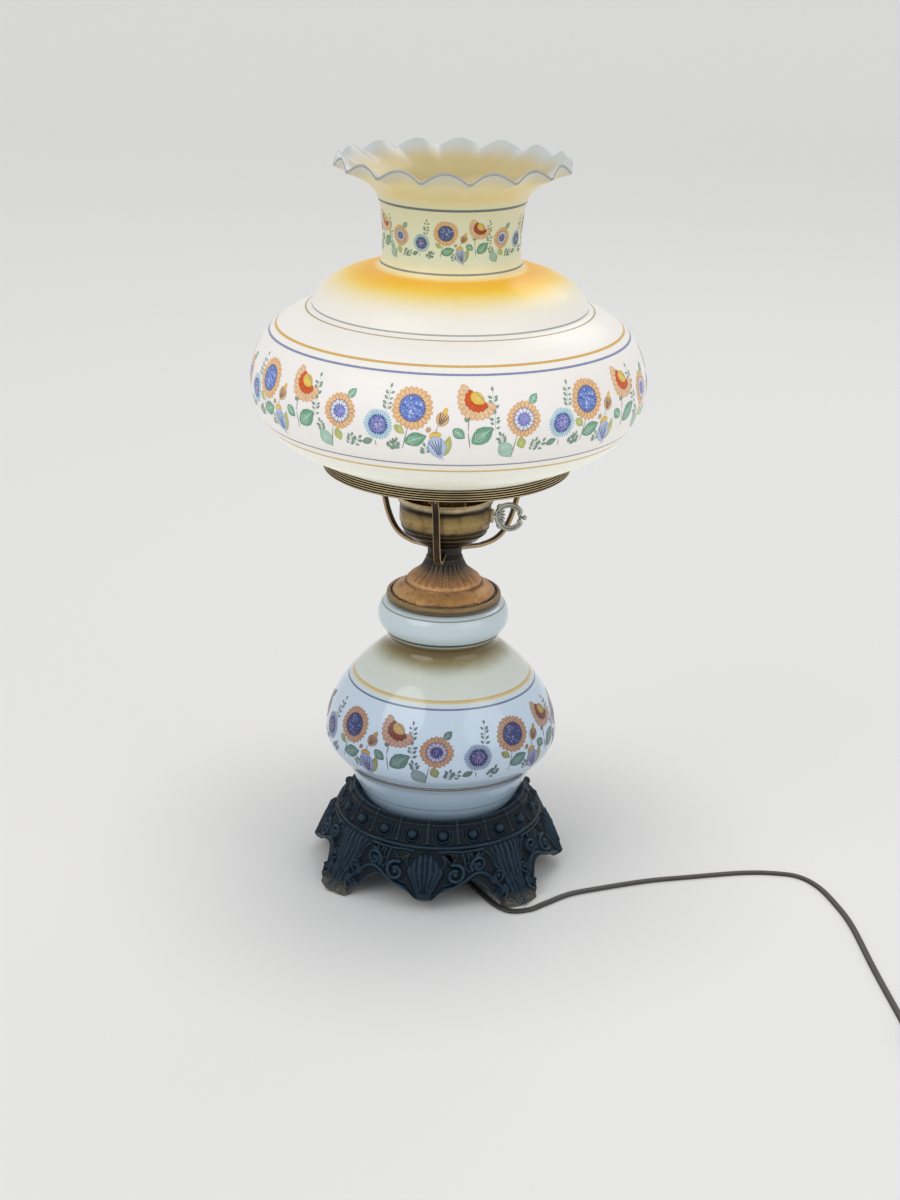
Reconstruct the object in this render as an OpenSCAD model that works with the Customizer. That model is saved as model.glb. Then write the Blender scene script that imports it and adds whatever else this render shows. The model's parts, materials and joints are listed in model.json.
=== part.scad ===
// Electric table lamp in the style of a hurricane oil lamp.
// +Z is up, the table is z = 0, and the lamp's axis is the Z axis.
// The front of the base faces -Y, and the turn key points along +X.

/* [Cast base] */
// Radius to the tips of the four feet
foot_reach = 117; // [110:1:124]
// Height of the collar rim that the glass font sits in
base_h = 68; // [66:1:72]
// Inner radius of the collar rim
collar_r = 68.5; // [68:0.5:70]
// Wall of the casting
cast_wall = 4.5; // [3.5:0.5:5]
// Radius of the ledge below the beads
band_r = 84; // [82:0.5:86]
// Height of the ledge below the beads above the table
band_z = 50; // [48:0.5:51]
// Height of the small arches between the feet
arch_h = 24; // [20:1:26]
// Half the width of the cut-away between two feet
arch_w = 65; // [62:0.5:67]
// Gap under the shell in the middle of each side
shell_gap = 9.5; // [7:0.5:12]
// Number of beads round the base
bead_count = 20; // [16:4:24]
// Width of the three-sided piercings below the beads
pierce_w = 13; // [10:0.5:14]
// Radius of the larger volutes
volute_r = 8; // [6:0.5:9]
// Radius of the fan shell on each side
fan_r = 12.6; // [11:0.2:14]
// Angle that a foot takes round the base
foot_span = 16; // [12:1:18]
// Thickness of the web that the glass seats on
web_t = 4.5; // [3.5:0.5:6]

/* [Glass font] */
// Wall of the opal glass
glass_wall = 3; // [2.5:0.25:3.5]
// Height of the glass font's mouth above the table
font_top = 239.5; // [237:0.5:242]
// Widest radius of the font's bowl
bowl_r = 98; // [94:0.5:100]
// Radius of the font's waist
waist_r = 46; // [44:0.5:50]
// Radius of the holes in the ends of the font
font_hole_r = 36; // [30:0.5:38]
// Thickness of the felt and rubber gaskets
gasket_t = 1; // [0.5:0.25:1.5]

/* [Centre pipe] */
// Radius of the threaded pipe
pipe_r = 5; // [4.8:0.1:5.3]
// Bore radius of the pipe
pipe_bore_r = 3.4; // [3.2:0.05:3.6]
// Clearance between the pipe and the pieces it passes through
pipe_fit = 0.15; // [0.1:0.05:0.25]
// Width across the flats of the locknuts
nut_flats = 15; // [14:0.5:18]
// Height of a locknut
nut_h = 4; // [3:0.5:5]

/* [Vase cap and gallery] */
// Radius of the vase cap's rolled rim
cap_r = 47.9; // [46:0.1:49]
// Wall of the spun metal
spun_wall = 1.2; // [1:0.1:1.6]
// Outer radius of the shade ring
ring_r = 101.6; // [101:0.1:103]
// Height of the shade ring's band
ring_h = 9.6; // [9:0.1:11]
// Height of the shade ring's lower edge above the table
ring_z = 356; // [354:0.5:358]
// Number of grooves round the ring
groove_count = 4; // [3:1:5]
// Width of a gallery arm
arm_w = 5.6; // [4:0.2:7]
// Thickness of a gallery arm
arm_t = 2.8; // [2:0.2:3.4]
// Height of the hub between the vase cap and the burner cup
hub_h = 12; // [11:0.5:13]
// Number of gallery arms is three, this far apart
arm_step = 120; // [118:1:122]

/* [Burner cup and socket] */
// Radius of the burner cup's rim
cup_r = 39.6; // [38:0.2:41]
// Height of the burner cup's rim above the table
cup_top = 331; // [329:0.5:333]
// Height of the cup's floor above the table
cup_floor = 289; // [288.5:0.5:290]
// Outer radius of the socket shell
socket_r = 19.4; // [19:0.1:20.5]
// Wall of the socket shell and cap
socket_wall = 0.8; // [0.6:0.1:1]
// Height of the socket shell
shell_h = 41.8; // [40:0.2:43]
// Height of the key's axis above the table
key_z = 314; // [312:0.5:316]

/* [Turn key] */
// Outer radius of the key's open ring
key_r = 12.6; // [11:0.2:13]
// Radius of the key's shaft
shaft_r = 2; // [1.6:0.1:2.4]
// Running clearance of the shaft in its bushes
shaft_fit = 0.06; // [0.03:0.01:0.1]
// Distance of the key ring's centre from the lamp's axis
key_x = 53; // [51:0.5:55]

/* [Bulb] */
// Widest radius of the bulb
bulb_r = 30; // [27:0.5:31]
// Height of the bulb's widest part above the end of its base
bulb_len = 74; // [70:0.5:78]
// Radius of the bulb's screw base
bulb_base_r = 13; // [12.8:0.1:13.1]
// Clearance between the bulb's base and the screw shell
bulb_fit = 0.3; // [0.2:0.05:0.4]

/* [Glass shade] */
// Widest radius of the shade
shade_r = 159.4; // [155:0.2:162]
// Radius of the shade's fitter lip
fitter_r = 99; // [98.6:0.1:99.2]
// Radius of the shade's neck
neck_r = 54.6; // [52:0.2:58]
// Height of the shade's ruffled edge at its low points
rim_z = 599; // [596:0.5:602]
// Radius of the ruffled edge at its low points
rim_r = 94.5; // [90:0.5:98]
// Number of ruffles
ruffle_count = 16; // [12:1:20]
// Rise of each ruffle
ruffle_h = 8; // [4:0.5:10]

/* [Cord] */
// Width of the flat twin cord
cord_w = 5.6; // [5:0.1:6]
// Thickness of the flat twin cord
cord_t = 2.8; // [2.4:0.1:3]
// Radius of the coil's middle turn
coil_r = 26; // [24:0.5:30]
// Width of the coil's bundle
bundle_w = 11.6; // [10:0.2:13]
// Height of the coil's bundle
bundle_h = 11.6; // [10:0.2:13]

/* [Hidden] */
$fn = 96;
seam = 0.02;

// Points of a smooth line through the control points, each stretch in n steps.
function smooth_point(p, i, t) =
    let (a = p[max(i - 1, 0)], b = p[i], c = p[i + 1], d = p[min(i + 2, len(p) - 1)])
    0.5 * (2 * b + (c - a) * t + (2 * a - 5 * b + 4 * c - d) * t * t
        + (3 * b - a - 3 * c + d) * t * t * t);
function smooth(p, n) =
    [for (i = [0 : len(p) - 2], k = [0 : n - 1]) smooth_point(p, i, k / n), p[len(p) - 1]];

function unit(v) = v / norm(v);
// Direction square to the line at its point i, to the left of the way it runs.
function left_of(p, i) =
    let (d = unit(p[min(i + 1, len(p) - 1)] - p[max(i - 1, 0)])) [-d.y, d.x];
// Closed outline of a wall that lies between the line and the line moved left by t.
function wall(p, t) =
    concat(p, [for (i = [len(p) - 1 : -1 : 0]) p[i] + t * left_of(p, i)]);

// Points from rows of shares: the first of the radius r, the second of the height h above z.
function outline(rows, r, z, h) = [for (s = rows) [s.x * r, z + s.y * h]];

// ---- Cast base ----
web_z = base_h - 13;
seat_r = collar_r - 1.5;
hub_r = 13;
skirt_top = collar_r + cast_wall;
skirt_out = foot_reach - 4 - skirt_top;
skirt_line = smooth([[skirt_top, base_h], [skirt_top + 0.125 * skirt_out, 0.912 * base_h],
    [band_r, band_z + 2], [band_r + 4, band_z - 3],
    [skirt_top + 0.525 * skirt_out, 0.485 * base_h],
    [skirt_top + 0.725 * skirt_out, 0.265 * base_h],
    [skirt_top + 0.9 * skirt_out, 0.103 * base_h], [skirt_top + skirt_out, 0]], 3);
foot_h = 9;
bead_r = 4.6;
bead_z = band_z + 6.5;
// Lower edge of half a side, from the shell's tip past the arch to the foot.
edge_line = smooth([[0, shell_gap], [0.108 * arch_w, shell_gap + 1],
    [0.2 * arch_w, shell_gap + 5], [0.338 * arch_w, 0.75 * arch_h],
    [0.523 * arch_w, 0.958 * arch_h], [0.677 * arch_w, 0.958 * arch_h],
    [0.831 * arch_w, 0.625 * arch_h], [0.969 * arch_w, 0.25 * arch_h], [arch_w, -2]], 3);

// Cut that shapes the lower edge of one side of the skirt.
module apron_cut() {
    rotate([90, 0, 0]) translate([0, 0, 60]) linear_extrude(foot_reach)
        polygon(concat(edge_line, [for (i = [len(edge_line) - 1 : -1 : 1])
            [-edge_line[i].x, edge_line[i].y]]));
}

// Three-sided piercing below the beads, pointing down.
module piercing(w, h, z) {
    translate([0, 0, z]) rotate([90, 0, 0])
        translate([0, 0, 60])
            linear_extrude(60) polygon([[-w / 2, h / 2], [w / 2, h / 2], [w / 6, -h / 2]]);
}

// Volute seen from outside the skirt: a disc with a raised rim.
module volute(turn, z, reach, r) {
    rotate(turn) translate([0, -reach, z]) rotate([58, 0, 0]) {
        cylinder(r = r - 2, h = 3.4, center = true);
        rotate_extrude() translate([r - 2, 0]) circle(r = 1.9, $fn = 24);
    }
}

// Ring segment that gives a foot its flat sole.
module foot(turn) {
    rotate(turn - foot_span / 2 - 90) rotate_extrude(angle = foot_span)
        polygon([[foot_reach - 24, 0], [foot_reach - 2, 0], [foot_reach, 2], [foot_reach, 4],
            [foot_reach - 5, foot_h], [foot_reach - 16, foot_h + 9], [foot_reach - 24, foot_h + 9]]);
}

// Fan shell hanging at the middle of a side.
module shell(turn) {
    rotate(turn) intersection() {
        translate([0, 21 - foot_reach, shell_gap + 20.5]) rotate([-28, 0, 0])
            union() {
                translate([0, 0, -9]) cylinder(r1 = 0.4 * fan_r, r2 = fan_r + 0.4, h = 20,
                    center = true);
                translate([0, 0, 4]) sphere(r = fan_r);
            }
        translate([-20, -foot_reach + 9, shell_gap]) cube([40, 26, 30]);
    }
}

module base_casting() {
    color([0.10, 0.13, 0.17]) {
        difference() {
            union() {
                rotate_extrude() polygon(wall(skirt_line, -cast_wall));
                for (side = [0 : 90 : 270]) shell(side);
            }
            for (side = [0 : 90 : 270]) rotate(side) {
                apron_cut();
                rotate(9.5) piercing(pierce_w, pierce_w, band_z - 8);
                rotate(-9.5) piercing(-pierce_w, pierce_w, band_z - 8);
                rotate(28) piercing(pierce_w - 2, pierce_w / 2, band_z - 7);
                rotate(-28) piercing(2 - pierce_w, pierce_w / 2, band_z - 7);
            }
            translate([0, 0, -20]) cylinder(r = foot_reach + 20, h = 20);
        }
        for (corner = [45 : 90 : 315]) foot(corner);
        for (side = [0 : 90 : 270]) {
            volute(side + 13, arch_h + 9, foot_reach - 20, volute_r);
            volute(side - 13, arch_h + 9, foot_reach - 20, volute_r);
            volute(side + 36, arch_h - 4, foot_reach - 14, volute_r - 1);
            volute(side - 36, arch_h - 4, foot_reach - 14, volute_r - 1);
        }
        for (i = [0 : bead_count - 1])
            rotate((i + 0.5) * 360 / bead_count) translate([0, -(band_r - 5), bead_z])
                sphere(r = bead_r, $fn = 32);
        difference() {
            union() {
                translate([0, 0, web_z]) cylinder(r = band_r - cast_wall, h = web_t);
                translate([0, 0, web_z - 5]) cylinder(r = hub_r, h = 5 + web_t);
            }
            translate([0, 0, web_z - 10]) cylinder(r = pipe_r + pipe_fit, h = 30);
            for (turn = [0 : 60 : 300])
                rotate(turn) translate([40, 0, web_z - 1]) cylinder(r = 12, h = web_t + 2);
        }
    }
}

// ---- Pieces on the centre pipe ----
washer_r = 12;
washer_t = 1.5;
washer_z = web_z - 5 - washer_t;
nut_z = washer_z - nut_h;
pipe_z = nut_z - 5;
socket_z = cup_floor + spun_wall;
cup_nut_z = socket_z;
cap_z = cup_nut_z + nut_h;
pipe_top = cap_z + 7;

// Hexagonal locknut with a bore for the pipe.
module locknut(z) {
    translate([0, 0, z]) difference() {
        cylinder(r = nut_flats / sqrt(3), h = nut_h, $fn = 6);
        translate([0, 0, -1]) cylinder(r = pipe_r + pipe_fit, h = nut_h + 2);
    }
}

module base_washer() {
    color([0.55, 0.55, 0.52]) translate([0, 0, washer_z]) difference() {
        cylinder(r = washer_r, h = washer_t);
        translate([0, 0, -1]) cylinder(r = pipe_r + pipe_fit, h = washer_t + 2);
    }
}

module base_locknut() {
    color([0.6, 0.55, 0.4]) locknut(nut_z);
}

module cup_locknut() {
    color([0.6, 0.55, 0.4]) locknut(cup_nut_z);
}

bush_r = 7.5;
bush_z = pipe_z - 3;

module cord_bushing() {
    color([0.12, 0.12, 0.12]) difference() {
        translate([0, 0, bush_z]) cylinder(r = bush_r, h = nut_z - bush_z);
        translate([0, 0, pipe_z]) cylinder(r = pipe_r + pipe_fit, h = nut_h + 10);
        translate([0, 0, bush_z - 1]) cylinder(r = pipe_bore_r, h = 10);
    }
}

module lamp_pipe() {
    color([0.7, 0.6, 0.35]) difference() {
        translate([0, 0, pipe_z]) cylinder(r = pipe_r, h = pipe_top - pipe_z);
        translate([0, 0, pipe_z - 1]) cylinder(r = pipe_bore_r, h = pipe_top - pipe_z + 2);
    }
}

// ---- Glass font ----
font_z = web_z + web_t + gasket_t;
foot_ring_r = seat_r - 3;
font_h = font_top - font_z;
// Shares of the bowl's radius and the font's height, up to the waist
bowl_shape = [[0.755, 0.109], [0.798, 0.165], [0.822, 0.193], [0.866, 0.221], [0.923, 0.254],
    [0.98, 0.299], [1, 0.355], [0.974, 0.444], [0.915, 0.528], [0.814, 0.612], [0.682, 0.695],
    [0.564, 0.751]];
// Shares of the waist's radius and the font's height, up to the mouth
waist_shape = [[1.026, 0.79], [1, 0.824], [1.087, 0.86], [1.174, 0.897], [1.196, 0.93],
    [1.161, 0.969], [1.065, 0.994]];
font_line = concat([[font_hole_r, font_z]], smooth(concat(
    [[foot_ring_r - 6, font_z], [foot_ring_r, font_z + 1.5], [collar_r + 0.1, base_h + 2]],
    outline(bowl_shape, bowl_r, font_z, font_h), outline(waist_shape, waist_r, font_z, font_h),
    [[font_hole_r + 4, font_top]]), 3), [[font_hole_r, font_top]]);

module seat_gasket() {
    color([0.15, 0.15, 0.15]) translate([0, 0, web_z + web_t]) difference() {
        cylinder(r = foot_ring_r - 5, h = gasket_t);
        translate([0, 0, -1]) cylinder(r = font_hole_r + 18, h = gasket_t + 2);
    }
}

module font_glass() {
    color([0.80, 0.87, 0.92]) rotate_extrude() polygon(wall(font_line, glass_wall));
}

module cap_gasket() {
    color([0.15, 0.15, 0.15]) translate([0, 0, font_top]) difference() {
        cylinder(r = font_hole_r + 5, h = gasket_t);
        translate([0, 0, -1]) cylinder(r = font_hole_r + 0.5, h = gasket_t + 2);
    }
}

// ---- Vase cap, gallery and burner cup ----
cap_seat = font_top + gasket_t;
cap_neck_r = 15.2;
hub_top = cup_floor;
cap_top = hub_top - hub_h;
arm_z = hub_top - hub_h / 2 - 0.5;

// Shares of the rim's radius and the cap's height
cap_shape = [[0.877, 0.216], [0.752, 0.321], [0.676, 0.403], [0.639, 0.474], [0.555, 0.567],
    [0.459, 0.66], [0.388, 0.753], [0.342, 0.863]];
cap_line = smooth(concat([[cap_r - 0.4, cap_seat + 2.6]],
    outline(cap_shape, cap_r, cap_seat, cap_top - cap_seat), [[cap_neck_r, cap_top]]), 3);

module vase_cap() {
    color([0.55, 0.31, 0.17]) {
        rotate_extrude() polygon(wall(cap_line, spun_wall));
        // Rolled rim and the flange that presses on the gasket.
        rotate_extrude() polygon([[font_hole_r + 1, cap_seat], [cap_r - 1.4, cap_seat],
            [cap_r, cap_seat + 1.6], [cap_r, cap_seat + 4.6], [cap_r - 1.6, cap_seat + 6.2],
            [cap_r - 4, cap_seat + 6.2], [cap_r - 4, cap_seat + 1.4],
            [font_hole_r + 1, cap_seat + 1.4]]);
        translate([0, 0, cap_top - 2]) difference() {
            cylinder(r = cap_neck_r, h = 2 + seam);
            translate([0, 0, -1]) cylinder(r = pipe_r + pipe_fit, h = 5);
        }
    }
}

hub_r_out = 14.2;
hub_groove_count = 3;

module arm_hub() {
    color([0.09, 0.08, 0.07]) difference() {
        translate([0, 0, cap_top + seam]) cylinder(r = hub_r_out, h = hub_top - cap_top - seam);
        translate([0, 0, cap_top - 1]) cylinder(r = pipe_r + pipe_fit, h = 30);
        for (k = [0 : hub_groove_count - 1])
            translate([0, 0, cap_top + 1 + 1.5 * k]) rotate_extrude()
                translate([hub_r_out, 0]) circle(r = 0.5, $fn = 16);
        for (k = [0 : 2]) rotate(k * arm_step)
            translate([-arm_w / 2, -hub_r_out - 1, arm_z - arm_t / 2])
                cube([arm_w, 5, arm_t]);
    }
}

shelf_t = 1.8;
shelf_in = 92;
ring_wall = 2;
arm_end_z = ring_z - arm_t / 2;
// Shares of the ring's radius and of the rise from the hub to the ring
arm_shape = [[0.315, 0], [0.433, 0.042], [0.522, 0.132], [0.591, 0.298], [0.64, 0.52],
    [0.699, 0.756], [0.778, 0.915], [0.866, 1]];
arm_line = concat([[hub_r_out - 4, arm_z]],
    smooth(outline(arm_shape, ring_r, arm_z, arm_end_z - arm_z), 4), [[ring_r - 3.6, arm_end_z]]);

// Flat bar bent in a vertical plane, from the hub out and up to the ring.
module gallery_arm(turn) {
    color([0.34, 0.27, 0.17]) rotate(turn) rotate([90, 0, -90])
        translate([0, 0, -arm_w / 2]) linear_extrude(arm_w)
            polygon(concat([for (i = [0 : len(arm_line) - 1])
                arm_line[i] - arm_t / 2 * left_of(arm_line, i)],
                [for (i = [len(arm_line) - 1 : -1 : 0])
                arm_line[i] + arm_t / 2 * left_of(arm_line, i)]));
}

module arm_front() { gallery_arm(0); }
module arm_right() { gallery_arm(arm_step); }
module arm_left() { gallery_arm(-arm_step); }

module shade_ring() {
    groove_step = ring_h / (groove_count + 1);
    color([0.34, 0.27, 0.17]) difference() {
        rotate_extrude() polygon([[shelf_in, ring_z], [ring_r - 0.4, ring_z],
            [ring_r, ring_z + 0.4], [ring_r, ring_z + ring_h - 0.4],
            [ring_r - 0.4, ring_z + ring_h], [ring_r - ring_wall, ring_z + ring_h],
            [ring_r - ring_wall, ring_z + shelf_t], [shelf_in, ring_z + shelf_t]]);
        for (k = [1 : groove_count]) translate([0, 0, ring_z + k * groove_step])
            rotate_extrude() translate([ring_r + 0.25, 0]) circle(r = 0.7, $fn = 16);
    }
}

belly_r = cup_r - 1.7;
cup_h = cup_top - cup_floor;
// Shares of the belly's radius and the cup's height, up to the flange
cup_shape = [[0.528, 0.014], [0.712, 0.119], [0.871, 0.214], [0.96, 0.381], [1, 0.524]];
rib_shape = [[0.902, 0.262], [0.952, 0.357]];
cup_line = smooth(concat([[hub_r_out + 0.8, cup_floor]],
    outline(cup_shape, belly_r, cup_floor, cup_h),
    [[belly_r, cup_top - 9], [belly_r, cup_top - 7.4]]), 3);

module burner_cup() {
    color([0.36, 0.29, 0.17]) difference() {
        union() {
            rotate_extrude() polygon(wall(cup_line, spun_wall));
            translate([0, 0, cup_floor]) cylinder(r = hub_r_out + 1.4, h = spun_wall);
            rotate_extrude() polygon([[belly_r - spun_wall, cup_top - 8], [belly_r, cup_top - 8],
                [cup_r, cup_top - 6], [cup_r, cup_top - 1], [cup_r + 1.2, cup_top],
                [cup_r - spun_wall, cup_top], [cup_r - spun_wall, cup_top - 5.5]]);
            for (rib = outline(rib_shape, belly_r, cup_floor, cup_h)) rotate_extrude()
                translate(rib) circle(r = 0.9, $fn = 24);
        }
        translate([0, 0, cup_floor - 1]) cylinder(r = pipe_r + pipe_fit, h = 5);
        translate([0, 0, key_z]) rotate([0, 90, 0]) cylinder(r = bush_hole_r, h = 60);
    }
}

// ---- Socket ----
shell_z = cap_z + 9;
shell_top = shell_z + shell_h;
liner_fit = 0.2;
liner_t = 0.8;
liner_r = socket_r - socket_wall - liner_fit;
body_r = liner_r - liner_t - liner_fit;
body_z = shell_z + 1.5;
screw_z = key_z + 6;
screw_r = bulb_base_r + bulb_fit;
screw_wall = 0.6;

module socket_cap() {
    color([0.72, 0.58, 0.28]) difference() {
        union() {
            translate([0, 0, cap_z]) cylinder(r = 9, h = 4);
            translate([0, 0, cap_z + 3]) cylinder(r1 = 9, r2 = socket_r, h = 4);
            translate([0, 0, cap_z + 7]) cylinder(r = socket_r, h = 2);
        }
        translate([0, 0, cap_z - 1]) cylinder(r = pipe_r + pipe_fit, h = 12);
        translate([0, 0, cap_z + 4.5]) cylinder(r1 = 9, r2 = socket_r - socket_wall, h = 2.6);
        translate([0, 0, cap_z + 7]) cylinder(r = socket_r - socket_wall, h = 4);
    }
}

module socket_shell() {
    color([0.72, 0.58, 0.28]) difference() {
        translate([0, 0, shell_z]) cylinder(r = socket_r, h = shell_top - shell_z);
        translate([0, 0, shell_z - 1]) cylinder(r = socket_r - socket_wall, h = 60);
        translate([0, 0, key_z]) rotate([0, 90, 0]) cylinder(r = shaft_r + 1.2, h = 60);
    }
}

module socket_liner() {
    color([0.25, 0.22, 0.18]) difference() {
        translate([0, 0, shell_z]) cylinder(r = liner_r, h = shell_top - 1 - shell_z);
        translate([0, 0, shell_z - 1]) cylinder(r = liner_r - liner_t, h = 60);
        translate([0, 0, key_z]) rotate([0, 90, 0]) cylinder(r = shaft_r + 1.2, h = 60);
    }
}

shaft_end = -6;

module socket_body() {
    color([0.16, 0.10, 0.07]) difference() {
        translate([0, 0, body_z]) cylinder(r = body_r, h = screw_z - body_z);
        translate([shaft_end - 0.5, 0, key_z]) rotate([0, 90, 0])
            cylinder(r = shaft_r + shaft_fit, h = 60);
        for (s = [-1, 1]) translate([0, 12 * s, body_z - 1]) cylinder(r = 2.1, h = 5);
    }
}

module screw_shell() {
    color([0.78, 0.62, 0.28]) difference() {
        translate([0, 0, screw_z]) cylinder(r = screw_r + screw_wall, h = 22);
        translate([0, 0, screw_z + 0.8]) cylinder(r = screw_r, h = 30);
        translate([0, 0, screw_z - 1]) cylinder(r = contact_r + 1.5, h = 4);
    }
}

contact_r = 5;
contact_h = 1.6;

module centre_contact() {
    color([0.78, 0.62, 0.28]) translate([0, 0, screw_z]) cylinder(r = contact_r, h = contact_h);
}

module terminal_screws() {
    color([0.78, 0.62, 0.28]) for (s = [-1, 1]) translate([0, 12 * s, body_z]) {
        translate([0, 0, -0.6]) cylinder(r = 2.1, h = 4.6);
        translate([0, 0, -1.2]) cylinder(r = 2.8, h = 1.2);
    }
}

// ---- Turn key ----
bush_hole_r = shaft_r + 2.4;
bush_in = belly_r - 4;
bush_out = belly_r + 1.6;

module key_bush() {
    color([0.88, 0.83, 0.72]) translate([0, 0, key_z]) rotate([0, 90, 0]) difference() {
        union() {
            translate([0, 0, bush_in]) cylinder(r = bush_hole_r - 0.05, h = bush_out - bush_in);
            translate([0, 0, belly_r + 0.3]) cylinder(r = bush_hole_r + 1.4, h = 1.8);
        }
        translate([0, 0, bush_in - 1]) cylinder(r = shaft_r + shaft_fit, h = 20);
    }
}

ridge_r = 1.5;
ball_r = 1.9;
key_seam = 37;

tooth_w = 1.6;
ring_flat_t = 1.9;

// Flat ring of the key, with a comb of teeth inside and three round knobs outside.
module key_flat() {
    linear_extrude(ring_flat_t, center = true) {
        difference() {
            circle(r = key_r - 1);
            circle(r = key_r - 4.6);
        }
        for (k = [-2 : 2]) rotate(180 + 14 * k) translate([key_r - 7.4, -tooth_w / 2])
            square([4, tooth_w]);
        for (k = [-1 : 1]) rotate(30 * k) translate([key_r, 0]) circle(r = ball_r, $fn = 32);
    }
}

module turn_key() {
    color([0.62, 0.63, 0.62]) translate([0, 0, key_z]) {
        rotate([0, 90, 0]) translate([0, 0, shaft_end])
            cylinder(r = shaft_r, h = key_x - key_r + 1 - shaft_end);
        translate([key_x, 0, 0]) rotate([90, 0, 0]) {
            // Two ridges, one inside the other.
            rotate(key_seam) rotate_extrude()
                translate([key_r - ridge_r, 0]) circle(r = ridge_r, $fn = 24);
            rotate(2 * key_seam) rotate_extrude()
                translate([key_r - 2.9 * ridge_r, 0]) circle(r = 0.7 * ridge_r, $fn = 24);
            key_flat();
        }
    }
}

// ---- Bulb ----
tip_z = screw_z + contact_h;
base_z = tip_z + 2.4;
bulb_base_h = 24;
bulb_mid = base_z + bulb_len;
// Shares of the bulb's radius and of its height from the base to its widest part
bulb_shape = [[0.473, 0.14], [0.633, 0.38], [0.867, 0.66], [1, 1]];
bulb_line = smooth(concat([[bulb_base_r - 0.8, base_z + bulb_base_h]],
    outline(bulb_shape, bulb_r, base_z + bulb_base_h, bulb_len - bulb_base_h)), 4);

module bulb_tip() {
    color([0.7, 0.7, 0.68]) translate([0, 0, tip_z]) cylinder(r = 4.6, h = 2.4);
}

module bulb_base() {
    color([0.8, 0.8, 0.78]) {
        translate([0, 0, base_z]) cylinder(r1 = 9, r2 = bulb_base_r, h = 4);
        translate([0, 0, base_z + 4]) cylinder(r = bulb_base_r, h = bulb_base_h - 4);
    }
}

module bulb_glass() {
    color([0.98, 0.96, 0.88]) rotate_extrude() polygon(concat(
        [[0, base_z + bulb_base_h]], bulb_line,
        [for (a = [6 : 6 : 90]) [bulb_r * cos(a), bulb_mid + bulb_r * sin(a)]]));
}

// ---- Glass shade ----
seat_z = ring_z + shelf_t;
shade_h = rim_z - seat_z;
// Shares of the shade's widest radius and of its height, from the lip to the shoulder
shade_shape = [[0.678, 0.048], [0.762, 0.074], [0.866, 0.114], [0.943, 0.175], [0.981, 0.225],
    [1, 0.299], [0.985, 0.361], [0.949, 0.424], [0.897, 0.467], [0.822, 0.507], [0.753, 0.53],
    [0.7, 0.542], [0.691, 0.552], [0.67, 0.581], [0.627, 0.614], [0.54, 0.646], [0.439, 0.666]];
// Shares of the neck's radius and of the shade's height, from the shoulder to the flare
neck_shape = [[1.084, 0.675], [1.048, 0.687], [1.011, 0.714], [1, 0.764], [1.015, 0.822],
    [1.055, 0.88], [1.128, 0.921], [1.247, 0.954]];
shade_line = concat([[fitter_r, seat_z]], smooth(concat([[fitter_r, ring_z + ring_h - 1],
    [fitter_r + 1, ring_z + ring_h + 1]], outline(shade_shape, shade_r, seat_z, shade_h),
    outline(neck_shape, neck_r, seat_z, shade_h)), 3));

// Wave round the rim: sharp low points and broad high points.
rim_turn = 13.9;
function ruffle(a) = abs(sin(ruffle_count / 2 * (a - rim_turn)));
flare_low = [1.201 * neck_r, seat_z + 0.944 * shade_h];
flare_knee = [1.476 * neck_r, seat_z + 0.992 * shade_h];
// Middle of the flare's glass at angle a, for t from 0 at the neck to 1 at the edge.
function flare(a, t) =
    let (low = flare_low, edge = [rim_r, rim_z],
        p = (1 - t) * (1 - t) * low + 2 * t * (1 - t) * flare_knee + t * t * edge,
        lift = ruffle(a) * t * t)
    [p.x - 3 * lift, p.y + ruffle_h * lift];
// Points across the flare at angle a: up its outer face and down its inner face.
flare_steps = 5;
function flare_side(a, side) = [for (k = [0 : flare_steps])
    let (t = k / flare_steps, h = k == 0 ? 0.3 : 0.5,
        d = unit(flare(a, t + 0.02) - flare(a, t - 0.02)))
    flare(a, t) + side * h * glass_wall * [d.y, -d.x]];
flare_turns = 5 * ruffle_count;
flare_cut = 2 * (flare_steps + 1);
function around(p, a) = [p.x * sin(a), -p.x * cos(a), p.y];

module ruffled_flare() {
    cut_points = [for (j = [0 : flare_turns - 1])
        let (a = rim_turn + j * 360 / flare_turns, outer = flare_side(a, 1),
            inner = flare_side(a, -1))
        each [for (k = [0 : flare_steps]) around(outer[k], a),
            for (k = [flare_steps : -1 : 0]) around(inner[k], a)]];
    polyhedron(points = cut_points, faces = [for (j = [0 : flare_turns - 1], k = [0 : flare_cut - 1])
        let (a = j * flare_cut, b = ((j + 1) % flare_turns) * flare_cut, n = (k + 1) % flare_cut)
        each [[a + k, b + n, b + k], [a + k, a + n, b + n]]], convexity = 6);
}

module shade_glass() {
    color([0.97, 0.95, 0.90]) union() {
        rotate_extrude() polygon(wall(shade_line, glass_wall));
        ruffled_flare();
    }
}

// ---- Cord and plug ----
lead_turn = 32;
cord_route = [[0, 0, bush_z], [0, 0, 26], [3, -5, 14], [9, -14, 6], [18, -28, 2], [28, -45, 1.4],
    [40, -63, 1.4], [51, -79, 1.4], [61, -91, 1.4], [73, -98, 1.4], [88, -93, 1.4],
    [101, -80, 1.4], [120, -61, 1.4], [145, -47, 1.4], [184, -28, 1.4], [221, -15, 1.4],
    [268, 0, 1.4], [298, 3, 1.4], [316, -1, 1.4], [331, -17, 1.4], [344, -46, 1.4],
    [355, -81, 1.4], [368, -149, 1.4], [385, -215, 1.4], [392, -250, 1.4]];
coil_x = 418;
coil_y = -250;
route_steps = 2;
cord_sides = 8;
cord_line = [for (p = smooth(cord_route, route_steps)) [p.x, p.y, max(p.z, cord_t / 2)]];

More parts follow.
